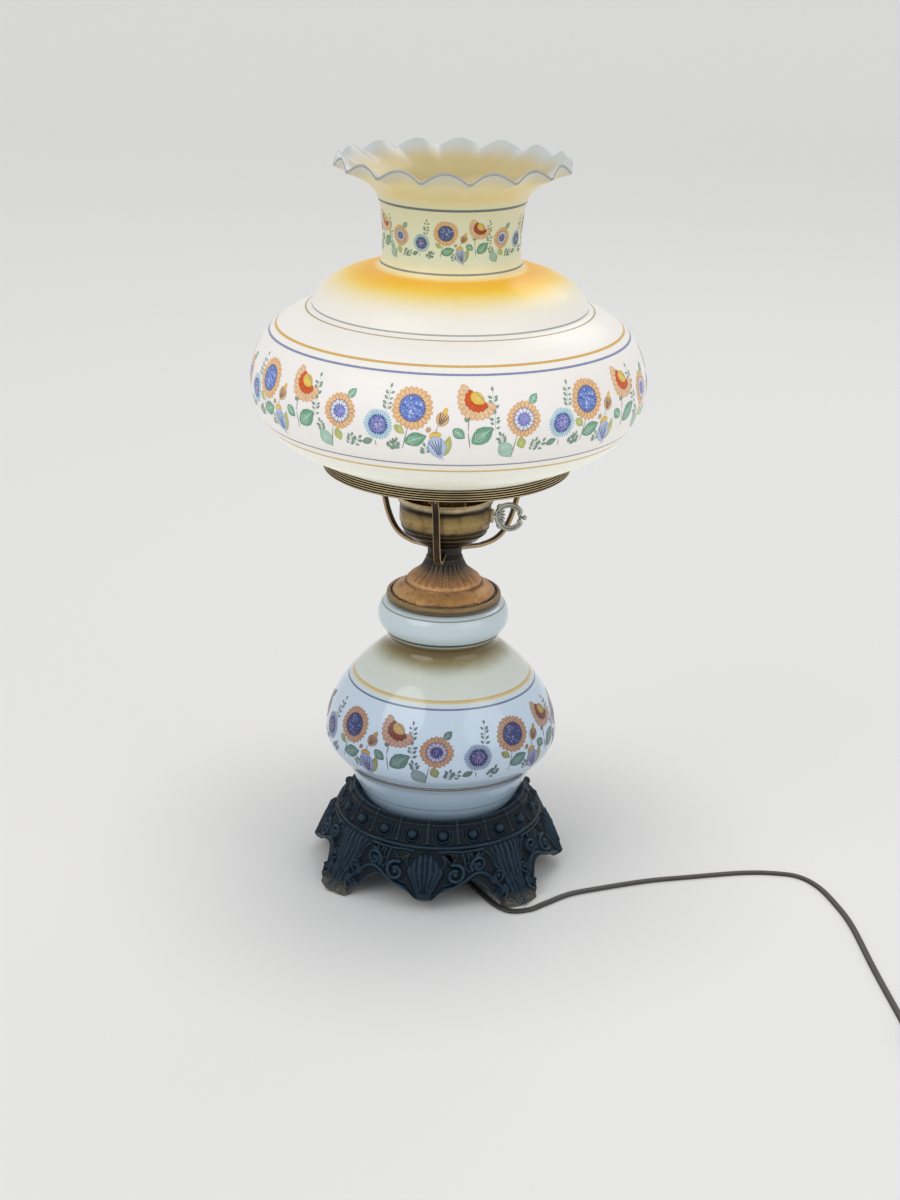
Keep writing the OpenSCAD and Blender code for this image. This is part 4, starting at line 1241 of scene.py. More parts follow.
# A round moulding: its height, half width and rise; the lowest lies along the run of the skirt.
collarRims = ((64.2, 1.0, 0.9), (67.3, 0.9, 0.7))
lowerRim = (48.6, 1.7, 1.9)
shellFacts = {"tip": 9.5, "above": 5, "long": 44.5, "root": 3.8, "spread": 12.6, "ribs": 7, "dome": 4.2,
              "rib": 0.95, "widest": 0.64, "swell": 1.25, "crown": 0.37, "scallop": 0.022, "steep": 9,
              "rootHigh": 0.4, "ribStart": 2.6, "thick": 0.5}
leafFacts = {"top": 47.5, "root": 4.4, "spread": 12.5, "body": 2.9, "frond": 1.9, "lobe": 0.8,
             "lobeLong": 6.2, "widest": 44, "swell": 0.9, "tipLong": 6, "spacing": 3.0, "spacingGrows": 0.035,
             "wave": 0.22, "waveLong": 7.5, "waveFrom": 3}

# Scrolls: place as degrees from the side's middle and height, radius outside and inside, turns, where
# the curl starts and its way round, its half width and rise, and the ball at its middle.
scrolls = [dict(zip(("at", "from", "to", "turns", "start", "way", "wide", "high", "ball"), row)) for row in (
    ((15.0, 28.4), 8.8, 2.6, 1.2, 120, -1, 2.2, 3.4, 2.8),
    ((27.6, 34.6), 6.8, 2.9, 1.25, 230, -1, 1.9, 3.1, 2.7),
    ((35.6, 10.5), 7.0, 3.0, 1.2, 70, -1, 1.8, 3.2, 3.0),
    ((36.8, 23.5), 6.0, 2.5, 1.2, 200, 1, 1.7, 3.0, 2.6))]
# Ridges that follow soft lines: half width, rise, and points as degrees and height.
castStrokes = [
    (2.2, 2.9, [(6.5, 13.5), (10, 17.5), (15, 19.5), (20, 24), (26, 28.5), (31, 26.5), (35.5, 18.5),
                (38.5, 12)]),
    (1.0, 1.3, [(9.5, 21), (15, 22.6), (20, 27), (25, 31.6)]),
    (1.4, 1.8, [(7.4, 45.8), (13, 46.2), (19, 45.6), (25, 45.8), (32, 46)]),
    (1.4, 2.0, [(19.6, 44), (20.6, 38), (20.8, 33), (22.4, 29.5)]),
    (1.1, 1.5, [(22.2, 43.6), (22.8, 39), (22.2, 36)]),
    (1.2, 1.8, [(9.4, 33.5), (10.2, 37.4), (9.4, 41.5)]),
    (1.4, 2.1, [(32.5, 44), (35.5, 38), (36.5, 31.5), (39.5, 25.5), (41, 16), (42.4, 7)]),
    (1.2, 1.6, [(35, 45), (38, 38.5), (39, 31), (41.3, 25), (42.6, 16), (43.4, 6)]),
    (1.2, 1.7, [(38, 45.6), (40.4, 39), (41.4, 31), (42.8, 23), (44, 12)]),
    (1.2, 1.6, [(41.2, 45.8), (42.8, 38), (43.4, 30), (44.4, 20)]),
    (1.9, 2.2, [(45, 46.5), (45, 34), (45, 20), (45, 4)]),
]
# Holes right through the casting, as corners in degrees and height.
piercings = [
    [(8.9, 44), (17.4, 44.2), (15.8, 41.4), (14.8, 38.4), (13.4, 36.8), (12.0, 38.6), (10.8, 41.6)],
    [(23.8, 44.4), (31.4, 44.2), (30.2, 41.8), (27.4, 40.8), (25.2, 41.8)],
]


def onCast(degrees, height):
    # Flat place of a point of the skirt, in mm across and along.
    s = lengthAtHeight(castLine, height) / mm
    return math.radians(degrees) * radiusAt(s), s


def radiusAt(s):
    return float(np.interp(s, castRun, castRadii))


def ridge(distance, wide, high):
    return high * np.clip(1 - (distance / wide) ** 2, 0, 1) ** 0.8


def domeRise(squares, radius):
    return np.sqrt(np.clip(radius ** 2 - squares, 0, None))


def strokeRise(across, along, wide, high, points):
    line = smoothLine([onCast(*p) for p in points], 5)
    nearest = np.full(across.shape, 1e3)
    for a, b in zip(line, line[1:]):
        d = b - a
        t = np.clip(((across - a.x) * d.x + (along - a.y) * d.y) / max(d.length_squared, 1e-9), 0, 1)
        nearest = np.minimum(nearest, np.hypot(across - a.x - t * d.x, along - a.y - t * d.y))
    return ridge(nearest, wide, high)


def scrollRise(across, along, scroll):
    x, s = onCast(*scroll["at"])
    dx, dy = across - x, along - s
    far = np.hypot(dx, dy)
    swept = np.mod(scroll["way"] * (np.degrees(np.arctan2(dy, dx)) - scroll["start"]), 360)
    rise = np.zeros(across.shape)
    for k in range(math.ceil(scroll["turns"])):
        share = (swept + 360 * k) / (360 * scroll["turns"])
        radius = scroll["from"] + (scroll["to"] - scroll["from"]) * share
        curl = ridge(far - radius, scroll["wide"], scroll["high"])
        rise = np.maximum(rise, np.where(share <= 1, curl, 0))
    rise = np.maximum(rise, 1.1 * domeRise(far ** 2, scroll["ball"]))
    # the ground inside a scroll is dished
    return rise + 0.5 * np.clip(1 - (far / scroll["from"]) ** 2, 0, 1)


def beadRise(turn, across, along, high, facts):
    rise = np.zeros(across.shape)
    radius = np.interp(along, castRun, castRadii)
    bead = lengthAtHeight(castLine, facts["height"]) / mm
    for middle in facts["middles"]:
        dx, dy = np.radians(turn - middle) * radius, along - bead
        far = np.hypot(dx, dy)
        frame = np.where(dy > 0, np.abs(dx), far)
        upTo = np.clip((facts["open"] - dy) / 2, 0, 1)
        rise = np.maximum(rise, facts["dome"] * domeRise(far ** 2, facts["radius"]))
        for reach, frameHigh in facts["frames"]:
            rise = np.maximum(rise, upTo * ridge(frame - reach, facts["wide"], frameHigh))
    for middle in facts["ribs"]:
        dx = np.radians(turn - middle) * radius
        rib = ridge(dx, facts["ribWide"], facts["ribHigh"])
        rise = np.maximum(rise, np.where(high > facts["ribFrom"], rib, 0))
        dy = along - lengthAtHeight(castLine, facts["ballHeight"]) / mm
        rise = np.maximum(rise, domeRise(dx ** 2 + dy ** 2, facts["ball"]))
    for height, wide, rimHigh in collarRims:
        rise += ridge(high - height, wide, rimHigh)
    height, wide, rimHigh = lowerRim
    return np.maximum(rise, ridge(along - lengthAtHeight(castLine, height) / mm, wide, rimHigh))


def shellRise(across, along, facts):
    # A fan of ribs from a tip at the apron's lowest point, widest above its middle, domed at its top.
    tip = lengthAtHeight(castLine, facts["tip"]) / mm
    share = (along - tip + facts["above"]) / facts["long"]
    half = facts["root"] + facts["spread"] * np.clip(share / facts["widest"], 0, 1) ** facts["swell"]
    side = across / half
    wave = np.cos(side * facts["ribs"] * math.pi)
    scallop = (1 - facts["crown"] * (across / (facts["root"] + facts["spread"])) ** 2
               + facts["scallop"] * wave)
    inside = (np.abs(side) < 1) & (share < scallop) & (share > 0)
    edge = np.clip((scallop - share) * facts["steep"], 0, 1) ** 0.5
    low = np.clip(facts["rootHigh"] + share, 0, 1)
    body = facts["dome"] * np.clip(1 - side ** 2, 0, 1) ** 0.5 * edge * low
    ribs = np.clip(facts["ribStart"] * share, 0, 1) * wave * np.clip(1 - side ** 4, 0, 1)
    return np.where(inside, body + facts["rib"] * ribs * edge + facts["thick"], 0)


def cornerRise(turn, radius, high, facts):
    # The leaf at a corner: a lobed swelling with a midrib and long wavy fronds beside it.
    lobes = 2 * facts["lobe"] * np.abs(np.sin(high / facts["lobeLong"])) - facts["lobe"]
    half = facts["root"] + facts["spread"] * np.clip(high / facts["widest"], 0, 1) ** facts["swell"] + lobes
    away = np.radians(45 - turn) * radius
    side = away / half
    inside = (side < 1) & (high < facts["top"])
    tip = np.clip((facts["top"] - high) / facts["tipLong"], 0, 1) ** 0.5
    body = facts["body"] * np.clip(1 - side ** 2, 0, 1) ** 0.55 * tip
    spacing = facts["spacing"] + facts["spacingGrows"] * high
    sway = facts["wave"] * np.sin(high / facts["waveLong"]) * np.clip(away / facts["waveFrom"], 0, 1)
    ribs = (0.5 + 0.5 * np.cos(2 * math.pi * (away / spacing + sway))) ** 0.8 - 0.5
    fronds = facts["frond"] * ribs * np.clip(1 - side ** 6, 0, 1)
    return np.where(inside, body + fronds, 0)


def castRise(turn, across, along, high, facts):
    turn = np.abs(turn)
    rise = beadRise(turn, across, along, high, beadFacts)
    below = np.zeros(across.shape)
    for scroll in scrolls:
        below = np.maximum(below, scrollRise(across, along, scroll))
    for stroke in castStrokes:
        below = np.maximum(below, strokeRise(across, along, *stroke))
    leaf = cornerRise(turn, np.interp(along, castRun, castRadii), high, leafFacts)
    below = np.maximum(below, leaf + 0.4 * np.maximum(below - 0.4, 0))
    below = np.maximum(below, shellRise(across, along, shellFacts))
    rise = np.maximum(rise, np.where(high < facts["reliefTop"], below, 0))
    # thick worn ends of the feet
    foot = (np.clip((turn - facts["footFrom"]) / facts["footSoft"], 0, 1)
            * np.clip((facts["footTop"] - high) / facts["footSoft"], 0, 1))
    return rise + facts["footWorn"] * foot


def apronHeight(turn):
    # Height of the apron's edge at an angle from the side's middle, found in a few rounds.
    high = castFacts["apronGuess"]
    for _ in range(castFacts["apronRounds"]):
        reach = float(np.interp(high, castHeights, castRadii))
        x = min(reach * math.sin(math.radians(abs(turn))), castFacts["apronReach"])
        edge = float(np.interp(x, [p.x for p in apronLine], [p.y for p in apronLine]))
        high = 0.5 * high + 0.5 * edge
    return max(high, 0.0)


def nearestOnHole(point, corners):
    # Signed distance to the hole's outline, below nothing inside, and the nearest point on it.
    inside, best, spot = False, 1e9, None
    for a, b in zip(corners, corners[1:] + corners[:1]):
        if (a.y > point.y) != (b.y > point.y) and point.x < (b.x - a.x) * (point.y - a.y) / (b.y - a.y) + a.x:
            inside = not inside
        t = max(0, min(1, (point - a).dot(b - a) / (b - a).length_squared))
        near = a + t * (b - a)
        if (point - near).length < best:
            best, spot = (point - near).length, near
    return (-best if inside else best), spot


def castSide(name, facts):
    # One side lies flat as a grid, whose lower row follows the apron's edge; then its holes are cut.
    clearSelection()
    bpy.ops.mesh.primitive_grid_add(x_subdivisions=facts["columns"], y_subdivisions=facts["rows"], size=2,
                                    location=(0, 0, 0))
    obj = bpy.context.object
    obj.name = obj.data.name = name
    holes = [[Vector(onCast(*p)) for p in hole] for hole in piercings]
    holes += [[Vector((-p.x, p.y)) for p in hole] for hole in holes]
    for v in obj.data.vertices:
        turn, share = 45 * v.co.x, (v.co.y + 1) / 2
        low = lengthAtHeight(castLine, apronHeight(turn)) / mm
        s = low + (castRun[-1] - low) * share
        v.co = Vector((math.radians(turn) * radiusAt(s), s, 0))
    for v in obj.data.vertices:
        flat = Vector((v.co.x, v.co.y))
        for hole in holes:
            gap, near = nearestOnHole(flat, hole)
            if abs(gap) < facts["holeSnap"]:
                v.co = Vector((near.x, near.y, 0))
    editFaces(obj, lambda f: any(nearestOnHole(Vector(f.center[:2]), hole)[0] < -facts["holeInside"]
                                 for hole in holes))
    bpy.ops.mesh.delete(type="FACE")
    leaveEdit()
    points = np.array([v.co[:] for v in obj.data.vertices])
    across, along = points[:, 0], points[:, 1]
    radius, high = np.interp(along, castRun, castRadii), np.interp(along, castRun, castHeights)
    turn = np.degrees(across / radius)
    # the relief is softened by a second look from a little aside
    aside, up = facts["soften"]
    rise = 0.5 * (castRise(turn, np.abs(across), along, high, facts)
                  + castRise(turn, np.abs(across) + aside, along + up, high, facts))
    obj.data.attributes.new("rise", "FLOAT", "POINT").data.foreach_set("value", rise)
    corner = np.exp(-((np.abs(turn) - 45) / facts["footSpan"]) ** 2)
    flare = facts["footReach"] * corner * np.clip(1 - high / facts["footHigh"], 0, 1)
    for v, t, r, z in zip(obj.data.vertices, np.radians(turn), radius + flare, high):
        v.co = Vector((r * math.sin(t), -r * math.cos(t), z)) * mm
    return obj


def makeCasting(facts):
    # Four sides sewn together, thickened inwards, and raised outwards by their relief.
    side = castSide("castSide", facts)
    cast = joinAll("baseCasting", [side] + [placed(side, 0, 0, 90 * k) for k in range(1, 4)])
    editAll(cast)
    bpy.ops.mesh.select_mode(type="VERT")
    bpy.ops.mesh.select_non_manifold()
    bpy.ops.mesh.remove_doubles(threshold=facts["sew"] * mm)
    leaveEdit()
    normalsOut(cast)
    if sum(f.normal.dot(f.center - Vector((0, 0, f.center.z))) for f in cast.data.polygons) < 0:
        flipNormals(cast)
    outer = len(cast.data.vertices)
    normals = [v.normal.copy() for v in cast.data.vertices]
    rise = [d.value for d in cast.data.attributes["rise"].data]
    addModifier(cast, "SOLIDIFY", thickness=facts["wall"] * mm, offset=-1)
    for v, n, h in zip(cast.data.vertices, normals, rise):
        v.co += n * h * mm
    for v in cast.data.vertices:
        v.co.z = max(v.co.z, 0)
    values = np.zeros(len(cast.data.vertices), dtype=np.float32)
    values[:outer] = rise
    cast.data.attributes["rise"].data.foreach_set("value", values)
    # the plain inside needs fewer faces
    editFaces(cast, lambda f: min(f.vertices) >= outer)
    bpy.ops.mesh.decimate(ratio=facts["insideShare"])
    leaveEdit()
    smoothShade(cast, 50)
    return cast


webFacts = {"bore": 5.2, "hub": 13, "edge": 79.5, "low": 55, "high": 59.5, "hubLow": 50, "holes": 6,
            "holeReach": 40, "holeRadius": 12, "cutAt": 57, "cutDeep": 12, "chamfer": 0.8, "slope": (1.2, 1)}


def makeWeb(facts):
    # The disc inside the skirt, with six round holes and a hub for the pipe.
    bore, hub, low, high = facts["bore"], facts["hub"], facts["low"], facts["high"]
    hubLow, chamfer, (out, down) = facts["hubLow"], facts["chamfer"], facts["slope"]
    web = spinLine("baseWeb", [(bore, hubLow), (hub - chamfer, hubLow), (hub, hubLow + chamfer),
                               (hub, low - down), (hub + out, low), (facts["edge"], low),
                               (facts["edge"], high), (bore, high), (bore, hubLow)], 96)
    holes = []
    for k in range(facts["holes"]):
        a = 2 * math.pi * k / facts["holes"]
        holes.append(cylinderAt(facts["holeRadius"], facts["cutDeep"], facts["holeReach"] * math.cos(a),
                                facts["holeReach"] * math.sin(a), facts["cutAt"], 40))
    cutAway(web, joinAll("webCutter", holes))
    smoothShade(web, 35)
    return web


def castIronMaterial(name):
    # Dark painted iron: bluish, nearly black in the hollows as painted shade, rubbed and lit by a painted
    # highlight on the relief, and pale on the feet.
    material, tree, shader = newMaterial(name, paint(20, 34, 44), 0.45,
                                         {"Metallic": 0.1, "Specular IOR Level": 0.18})
    grain = noise(tree, 900, 4, 0.7)
    # painted shade: the low relief is darker than the raised
    hollowShade = ranged(tree, attribute(tree, "rise"), 0, 2.4)
    ground = blend(tree, hollowShade, paint(5, 18, 27), paint(22, 42, 56))
    patches = ranged(tree, noise(tree, 26, 6, 0.65), 0.6, 0.78, soft=True)
    browned = blend(tree, patches, ground, paint(36, 37, 36))
    point = put(tree, "NewGeometry", {}).outputs["Pointiness"]
    # the raised tops are partly rubbed and partly a painted highlight
    tops = maths(tree, "MULTIPLY", ranged(tree, point, 0.515, 0.60), grain)
    rubbedAndHighlit = blend(tree, tops, browned, paint(82, 108, 126))
    feet = maths(tree, "MULTIPLY", ranged(tree, heightOf(tree), 0.012, 0.003),
                 ranged(tree, grain, 0.42, 0.62))
    pits = put(tree, "TexVoronoi", {"Vector": objectPlace(tree), "Scale": 420}).outputs["Distance"]
    feed(tree, shader, {"Base Color": blend(tree, feet, rubbedAndHighlit, paint(128, 122, 108)),
                        "Roughness": ranged(tree, grain, 0.3, 0.7, 0.36, 0.62),
                        "Normal": dented(tree, maths(tree, "ADD", grain, pits), 0.35, 0.3)})
    return material


castIron = castIronMaterial("castIron")
casting = finishPiece(makeCasting(castFacts), "stand", castIron, ("base_casting",))
finishPiece(makeWeb(webFacts), "stand", castIron, ("base_casting",))
print("casting has", len(casting.data.polygons), "faces")


# Spun cap, cup and ring, bent arms and the key.

def makeHeightBand():
    # The share of the way from a low to a high place, along an edge that wanders a little.
    group, given, out = newGroup("heightBand", {"Low": 0.0, "High": 0.1}, ("Share",))
    wander = ranged(group, noise(group, 55, 4), 0, 1, -1.2 * mm, 1.2 * mm)
    height = maths(group, "ADD", heightOf(group), wander)
    feed(group, out, {"Share": ranged(group, height, given["Low"], given["High"])})
    return group


def makeSpeckle():
    # A mask of small flecks in loose clouds, between two heights.
    group, given, out = newGroup("speckle", {"Size": 900.0, "Cut": 0.6, "Middle": 0.3, "Half": 0.01},
                                 ("Mask",))
    flecks = ranged(group, noise(group, given["Size"], 3, 0.7), given["Cut"],
                    maths(group, "ADD", given["Cut"], 0.1))
    clouds = ranged(group, noise(group, 38, 2), 0.42, 0.6)
    inBand = maths(group, "COMPARE", heightOf(group), given["Middle"], given["Half"])
    feed(group, out, {"Mask": maths(group, "MULTIPLY", maths(group, "MULTIPLY", flecks, clouds), inBand)})
    return group


heightBand, speckle = makeHeightBand(), makeSpeckle()


def layTone(material, mask, colour):
    # Lays a colour over what the material shows so far, where the mask says.
    tree = material.node_tree
    shader = tree.nodes["Principled BSDF"]
    under = shader.inputs["Base Color"].links[0].from_socket
    feed(tree, shader, {"Base Color": blend(tree, mask, under, colour)})


def bandedMetal(name, stops, low, high, **values):
    # An aged metal whose tone and dark tone follow the height.
    material = metalMaterial(name, stops[0][1], (0.02, 0.015, 0.01), **values)
    tree = material.node_tree
    aged = next(n for n in tree.nodes if n.type == "GROUP")
    share = useGroup(tree, heightBand, {"Low": low * mm, "High": high * mm})["Share"]
    tones = colourRamp(tree, share, [((height - low) / (high - low), colour) for height, colour in stops])
    feed(tree, aged, {"Tone": tones, "Dark": scaled(tree, tones, 0.55)})
    return material


def addSpeckle(material, colour, size, cut, low, high):
    flecks = useGroup(material.node_tree, speckle, {"Size": size, "Cut": cut, "Middle": (low + high) / 2 * mm,
                                                    "Half": (high - low) / 2 * mm})
    layTone(material, flecks["Mask"], colour)


# Near black at the foot of the rolled rim: painted shade where the cap meets the glass; the other bands
# follow the height and darken towards the neck.
rustyCopper = bandedMetal("rustyCopper", [
    (240.5, paint(12, 10, 8)), (243, paint(24, 19, 14)), (244.6, paint(118, 98, 74)),
    (246.8, paint(58, 40, 26)), (248, paint(194, 144, 92)), (253.6, paint(200, 150, 98)),
    (255.2, paint(116, 76, 44)), (257, paint(202, 150, 100)), (261.5, paint(190, 144, 102)),
    (265.5, paint(140, 112, 84)), (269.5, paint(66, 56, 46)), (272.5, paint(36, 32, 28)),
    (277, paint(22, 20, 18))], 240, 278, worn=paint(222, 184, 128), size=130, share=0.4, wear=0.6,
    smooth=0.4, rough=0.6, grain=0.5, metal=0.35, bump=0.3)
addSpeckle(rustyCopper, paint(236, 194, 118), 950, 0.53, 246, 266)

# The cream at the top of the lip is a painted highlight of the bulb's light; the bands below follow the
# height.
cupBrass = bandedMetal("cupBrass", [
    (289, paint(36, 30, 24)), (296, paint(54, 45, 33)), (302, paint(44, 37, 28)), (306.5, paint(60, 49, 34)),
    (309, paint(146, 122, 80)), (314, paint(166, 141, 92)), (320.5, paint(134, 113, 74)),
    (323, paint(50, 42, 32)), (326, paint(54, 46, 36)), (328, paint(184, 168, 136)),
    (331, paint(226, 212, 180))], 289, 332, worn=paint(216, 186, 120), size=90, share=0.42, wear=0.5,
    smooth=0.27, rough=0.5, grain=0.4, metal=0.85, bump=0.2)
addSpeckle(cupBrass, paint(92, 74, 44), 420, 0.60, 308, 322)

ringBrass = metalMaterial("ringBrass", paint(196, 174, 134), paint(158, 134, 98), paint(240, 226, 192),
                          size=30, share=0.42, wear=0.5, smooth=0.26, rough=0.4, grain=0.1, metal=0.85,
                          bump=0.04)
armBronze = metalMaterial("armBronze", paint(50, 38, 27), paint(30, 23, 17), paint(120, 98, 68), size=40,
                          share=0.46, wear=0.6, smooth=0.3, rough=0.46, grain=0.15, metal=0.8, bump=0.08)
pewter = metalMaterial("pewter", paint(168, 171, 162), paint(104, 108, 98), paint(240, 242, 236), size=60,
                       share=0.42, wear=0.6, smooth=0.18, rough=0.34, grain=0.1, metal=0.9, bump=0.05)
knurledBrass = metalMaterial("knurledBrass", paint(20, 17, 14), paint(9, 8, 7), paint(56, 48, 38), size=260,
                             share=0.55, wear=0.5, smooth=0.4, rough=0.6, grain=0.6, metal=0.3, bump=0.6)

# The strip's narrow sides are painted bright as a highlight; its broad faces stay dark, their tone darkened
# as painted shade.
paintedSideHighlight = ranged(armBronze.node_tree, attribute(armBronze.node_tree, "edge"), 0.15, 0.75)
layTone(armBronze, paintedSideHighlight, paint(176, 152, 112))


def darkenGrooves(material, outer, deep, colour):
    # The bottoms of the turned grooves are painted dark as shade: told by how far they lie from the axis.
    tree = material.node_tree
    flat = put(tree, "VectorMath", {0: objectPlace(tree), 1: (1, 1, 0)}, operation="MULTIPLY")
    reach = put(tree, "VectorMath", {0: flat.outputs["Vector"]}, operation="LENGTH").outputs["Value"]
    low, high = (outer - deep) * mm, (outer - 0.24 * deep) * mm
    layTone(material, ranged(tree, reach, low, high, 1, 0, soft=True), colour)


ringFacts = {"radius": 101.6, "wall": 2, "low": 356, "high": 365.6, "shelf": 92, "shelfThick": 1.8,
             "ridges": 5, "ridgeAt": (0.2, 0.32, 0.5, 0.68, 0.8), "deep": 0.95, "lowEdge": 1.2,
             "highEdge": 0.9, "steps": 216}
darkenGrooves(ringBrass, ringFacts["radius"], ringFacts["deep"], paint(18, 13, 8))

capFacts = {"steps": 216, "flutes": 27, "fluteDeep": 1.15, "fluteFrom": 256, "fluteTo": 276, "fadeLow": 4,
            "fadeHigh": 5, "fluteShape": 0.6, "lift": 0.5}
capLine = [Vector(p) for p in (
    (42.4, 240.5), (46.4, 240.5), (47.6, 241.2), (48, 242.6), (48, 244.6), (47.4, 246.2), (46.2, 246.9),
    (44.8, 246.4), (44.2, 245.2), (43.4, 245.6))]
capLine += smoothLine([(43, 247.2), (39.4, 250.6), (36, 252.6), (33.2, 254.2), (32.5, 255.4), (31.9, 254.9),
                       (31.2, 256.6), (30.2, 258.4), (26.6, 261.2), (22, 264.6), (18.6, 268), (16.6, 272),
                       (15.3, 276.9)], 4)
capInside = [Vector(p) for p in (
    (15.3, 277), (5.2, 277), (5.2, 275.6), (13.9, 275.6), (15.0, 272), (17.4, 267.4), (21.2, 263.6),
    (25.8, 260.0), (30, 256.2), (34.6, 251.2), (40.6, 246), (41.4, 243.2), (41.4, 240.5))]


def makeCap(facts):
    # Spun, with flutes pressed into the outer face of its neck.
    cap = spinLine("vaseCap", capLine + capInside + [capLine[0]], facts["steps"])
    outer = {(round(p.x, 1), round(p.y, 1)) for p in capLine}
    low, high = facts["fluteFrom"], facts["fluteTo"]
    for v in cap.data.vertices:
        r, z = math.hypot(v.co.x, v.co.y) / mm, v.co.z / mm
        if (round(r, 1), round(z, 1)) in outer and low < z < high:
            a = math.atan2(v.co.y, v.co.x)
            fade = min(1, (z - low) / facts["fadeLow"]) * min(1, (high - z) / facts["fadeHigh"])
            wave = abs(math.cos(a * facts["flutes"] / 2)) ** facts["fluteShape"]
            rise = facts["fluteDeep"] * fade * (wave - 0.5)
            v.co += Vector((math.cos(a), math.sin(a), facts["lift"])) * rise * mm
    smoothShade(cap, 35)
    return cap


cupFacts = {"steps": 160, "holeRadius": 6.2, "keyHeight": 314, "wallAt": 38}
cupOuter = [Vector((15.2, 289))] + smoothLine(
    [(20, 289.6), (24.4, 291.8), (27.4, 294.4), (28.8, 294.8), (29.4, 296), (32.4, 298.2), (34, 299.4),
     (34.9, 300.4), (34.6, 301.6), (35.6, 303.2), (36.8, 304.4), (36.7, 305.8), (37.3, 307.6), (37.9, 309),
     (38.1, 312), (38.1, 318), (37.8, 321.6), (37.4, 323.4), (37.9, 324.6), (39.2, 325.8), (39.6, 327.4),
     (39.5, 329.4), (40.2, 330.2), (40.8, 331)], 3)
cupInside = [Vector(p) for p in (
    (40.5, 331.6), (39.6, 331.7), (38.6, 331), (38.4, 326), (36.6, 323.6), (36.8, 312), (36.0, 308),
    (34.4, 303.6), (32.6, 299.6), (26.6, 295.2), (20, 290.9), (15.4, 290.2), (5.2, 290.2), (5.2, 289),
    (15.2, 289))]


def makeCup(facts):
    # Spun in bands, with a round hole in its side for the key.
    cup = spinLine("burnerCup", cupOuter + cupInside, facts["steps"])
    cutAway(cup, cylinderAt(facts["holeRadius"], 16, facts["wallAt"], 0, facts["keyHeight"], 48,
                            (0, math.pi / 2, 0)))
    smoothShade(cup, 35)
    return cup


def makeRing(facts):
    # Rounded ridges with narrow grooves between them, outside a ledge for the glass.
    low, high, radius, shelf = facts["low"], facts["high"], facts["radius"], facts["shelf"]
    step, inner = (high - low) / facts["ridges"], radius - facts["wall"]
    first, last = facts["ridgeAt"][0], facts["ridgeAt"][-1]
    outline = [Vector((shelf, low)), Vector((radius - facts["lowEdge"], low))]
    for k in range(facts["ridges"]):
        for t in facts["ridgeAt"]:
            bulge = max(0, math.sin(math.pi * (t - first) / (last - first))) ** 0.5
            outline.append(Vector((radius - facts["deep"] * (1 - bulge), low + step * (k + t))))
    outline += [Vector(p) for p in ((radius - facts["highEdge"], high), (inner, high),
                                    (inner, low + facts["shelfThick"]),
                                    (shelf, low + facts["shelfThick"]), (shelf, low))]
    ring = spinLine("shadeRing", outline, facts["steps"])
    smoothShade(ring, 38)
    return ring


armFacts = {"wide": 5.6, "thick": 2.8, "edge": 0.8,
            "turns": {"arm_front": -90, "arm_right": 30, "arm_left": 150}}
armPath = [Vector((10.2, 282.5))] + smoothLine(
    [(32, 282.5), (44, 285.5), (53, 292), (60, 304), (65, 320), (71, 337), (79, 348.5), (88, 354.6)],
    4) + [Vector((98, 354.6))]


def makeArms(facts):
    # A strip drawn as a closed outline, filled, given its width and rounded along its edges.
    wide, half = facts["wide"], facts["thick"] / 2
    left, right = ([beside(armPath, i, far) for i in range(len(armPath))] for far in (half, -half))
    arm = drawLine([Vector((p.x, -wide / 2, p.y)) for p in left + right[::-1]])
    bpy.ops.mesh.edge_face_add()
    bpy.ops.mesh.select_all(action="SELECT")
    bpy.ops.mesh.extrude_region_move(TRANSFORM_OT_translate={"value": (0, wide * mm, 0)})
    normalsOut(arm)
    roundEdges(arm, facts["edge"], 3, 50)
    smoothShade(arm, 40)
    layer = arm.data.attributes.new("edge", "FLOAT", "POINT")
    for v, d in zip(arm.data.vertices, layer.data):
        d.value = max(0, (abs(v.co.y) / mm - wide / 2 + facts["edge"]) / facts["edge"])
    made = {name: placed(arm, 0, 0, turn) for name, turn in facts["turns"].items()}
    removeShapes(arm)
    return made


# Each of the key's rings is set in from its outer radius, of a wire, open by a gap in degrees to either
# side, and pressed flat. A ball is a place from the key's middle and a radius, and then, where it isn't
# round, its length, turn and flatness. Wings and fingers are long balls: radius and length.
keyFacts = {"middle": 53, "height": 314, "radius": 12.6, "shaftFrom": -6, "shaftTo": 43, "shaftRadius": 2,
            "rings": ((1.4, 1.4, 24, 1), (3.9, 0.95, 30, 1), (2.8, 1.15, 27, 0.4)),
            "endBalls": ((8.4, 3.0, 1.95), (9.8, 4.4, 1.4)), "wingTurn": 46, "wing": (1.3, 1.9),
            "fingers": (1.75, 5.1), "fingerAt": -7.3, "finger": (1.3, 3.4), "fanned": (0.65, 0.7, 8.3),
            "middleBalls": ((12.6, 0, 2.1), (9.9, 0, 1.2, 2.2), (-8.4, 0, 4.6, 0.8, 0, 0.2))}


def wireRing(inset, wire, gap, flat, facts):
    clearSelection()
    bpy.ops.mesh.primitive_circle_add(vertices=16, radius=wire * mm, fill_type="NGON",
                                      location=((facts["radius"] - inset) * mm, 0, 0),
                                      rotation=(math.pi / 2, 0, 0))
    ring = bpy.context.object
    applyPlace(ring)
    ring.data.transform(turnMatrix(-gap) @ Matrix.Diagonal((1, 1, flat, 1)))
    editAll(ring)
    bpy.ops.mesh.spin(steps=72, angle=math.radians(360 - 2 * gap), center=(0, 0, 0), axis=(0, 0, 1))
    bpy.ops.mesh.select_all(action="SELECT")
    bpy.ops.mesh.remove_doubles(threshold=0.001 * mm)
    normalsOut(ring)
    ring.data.transform(moveMatrix(facts["middle"] * mm, 0, facts["height"] * mm) @ turnMatrix(90, "X"))
    return ring


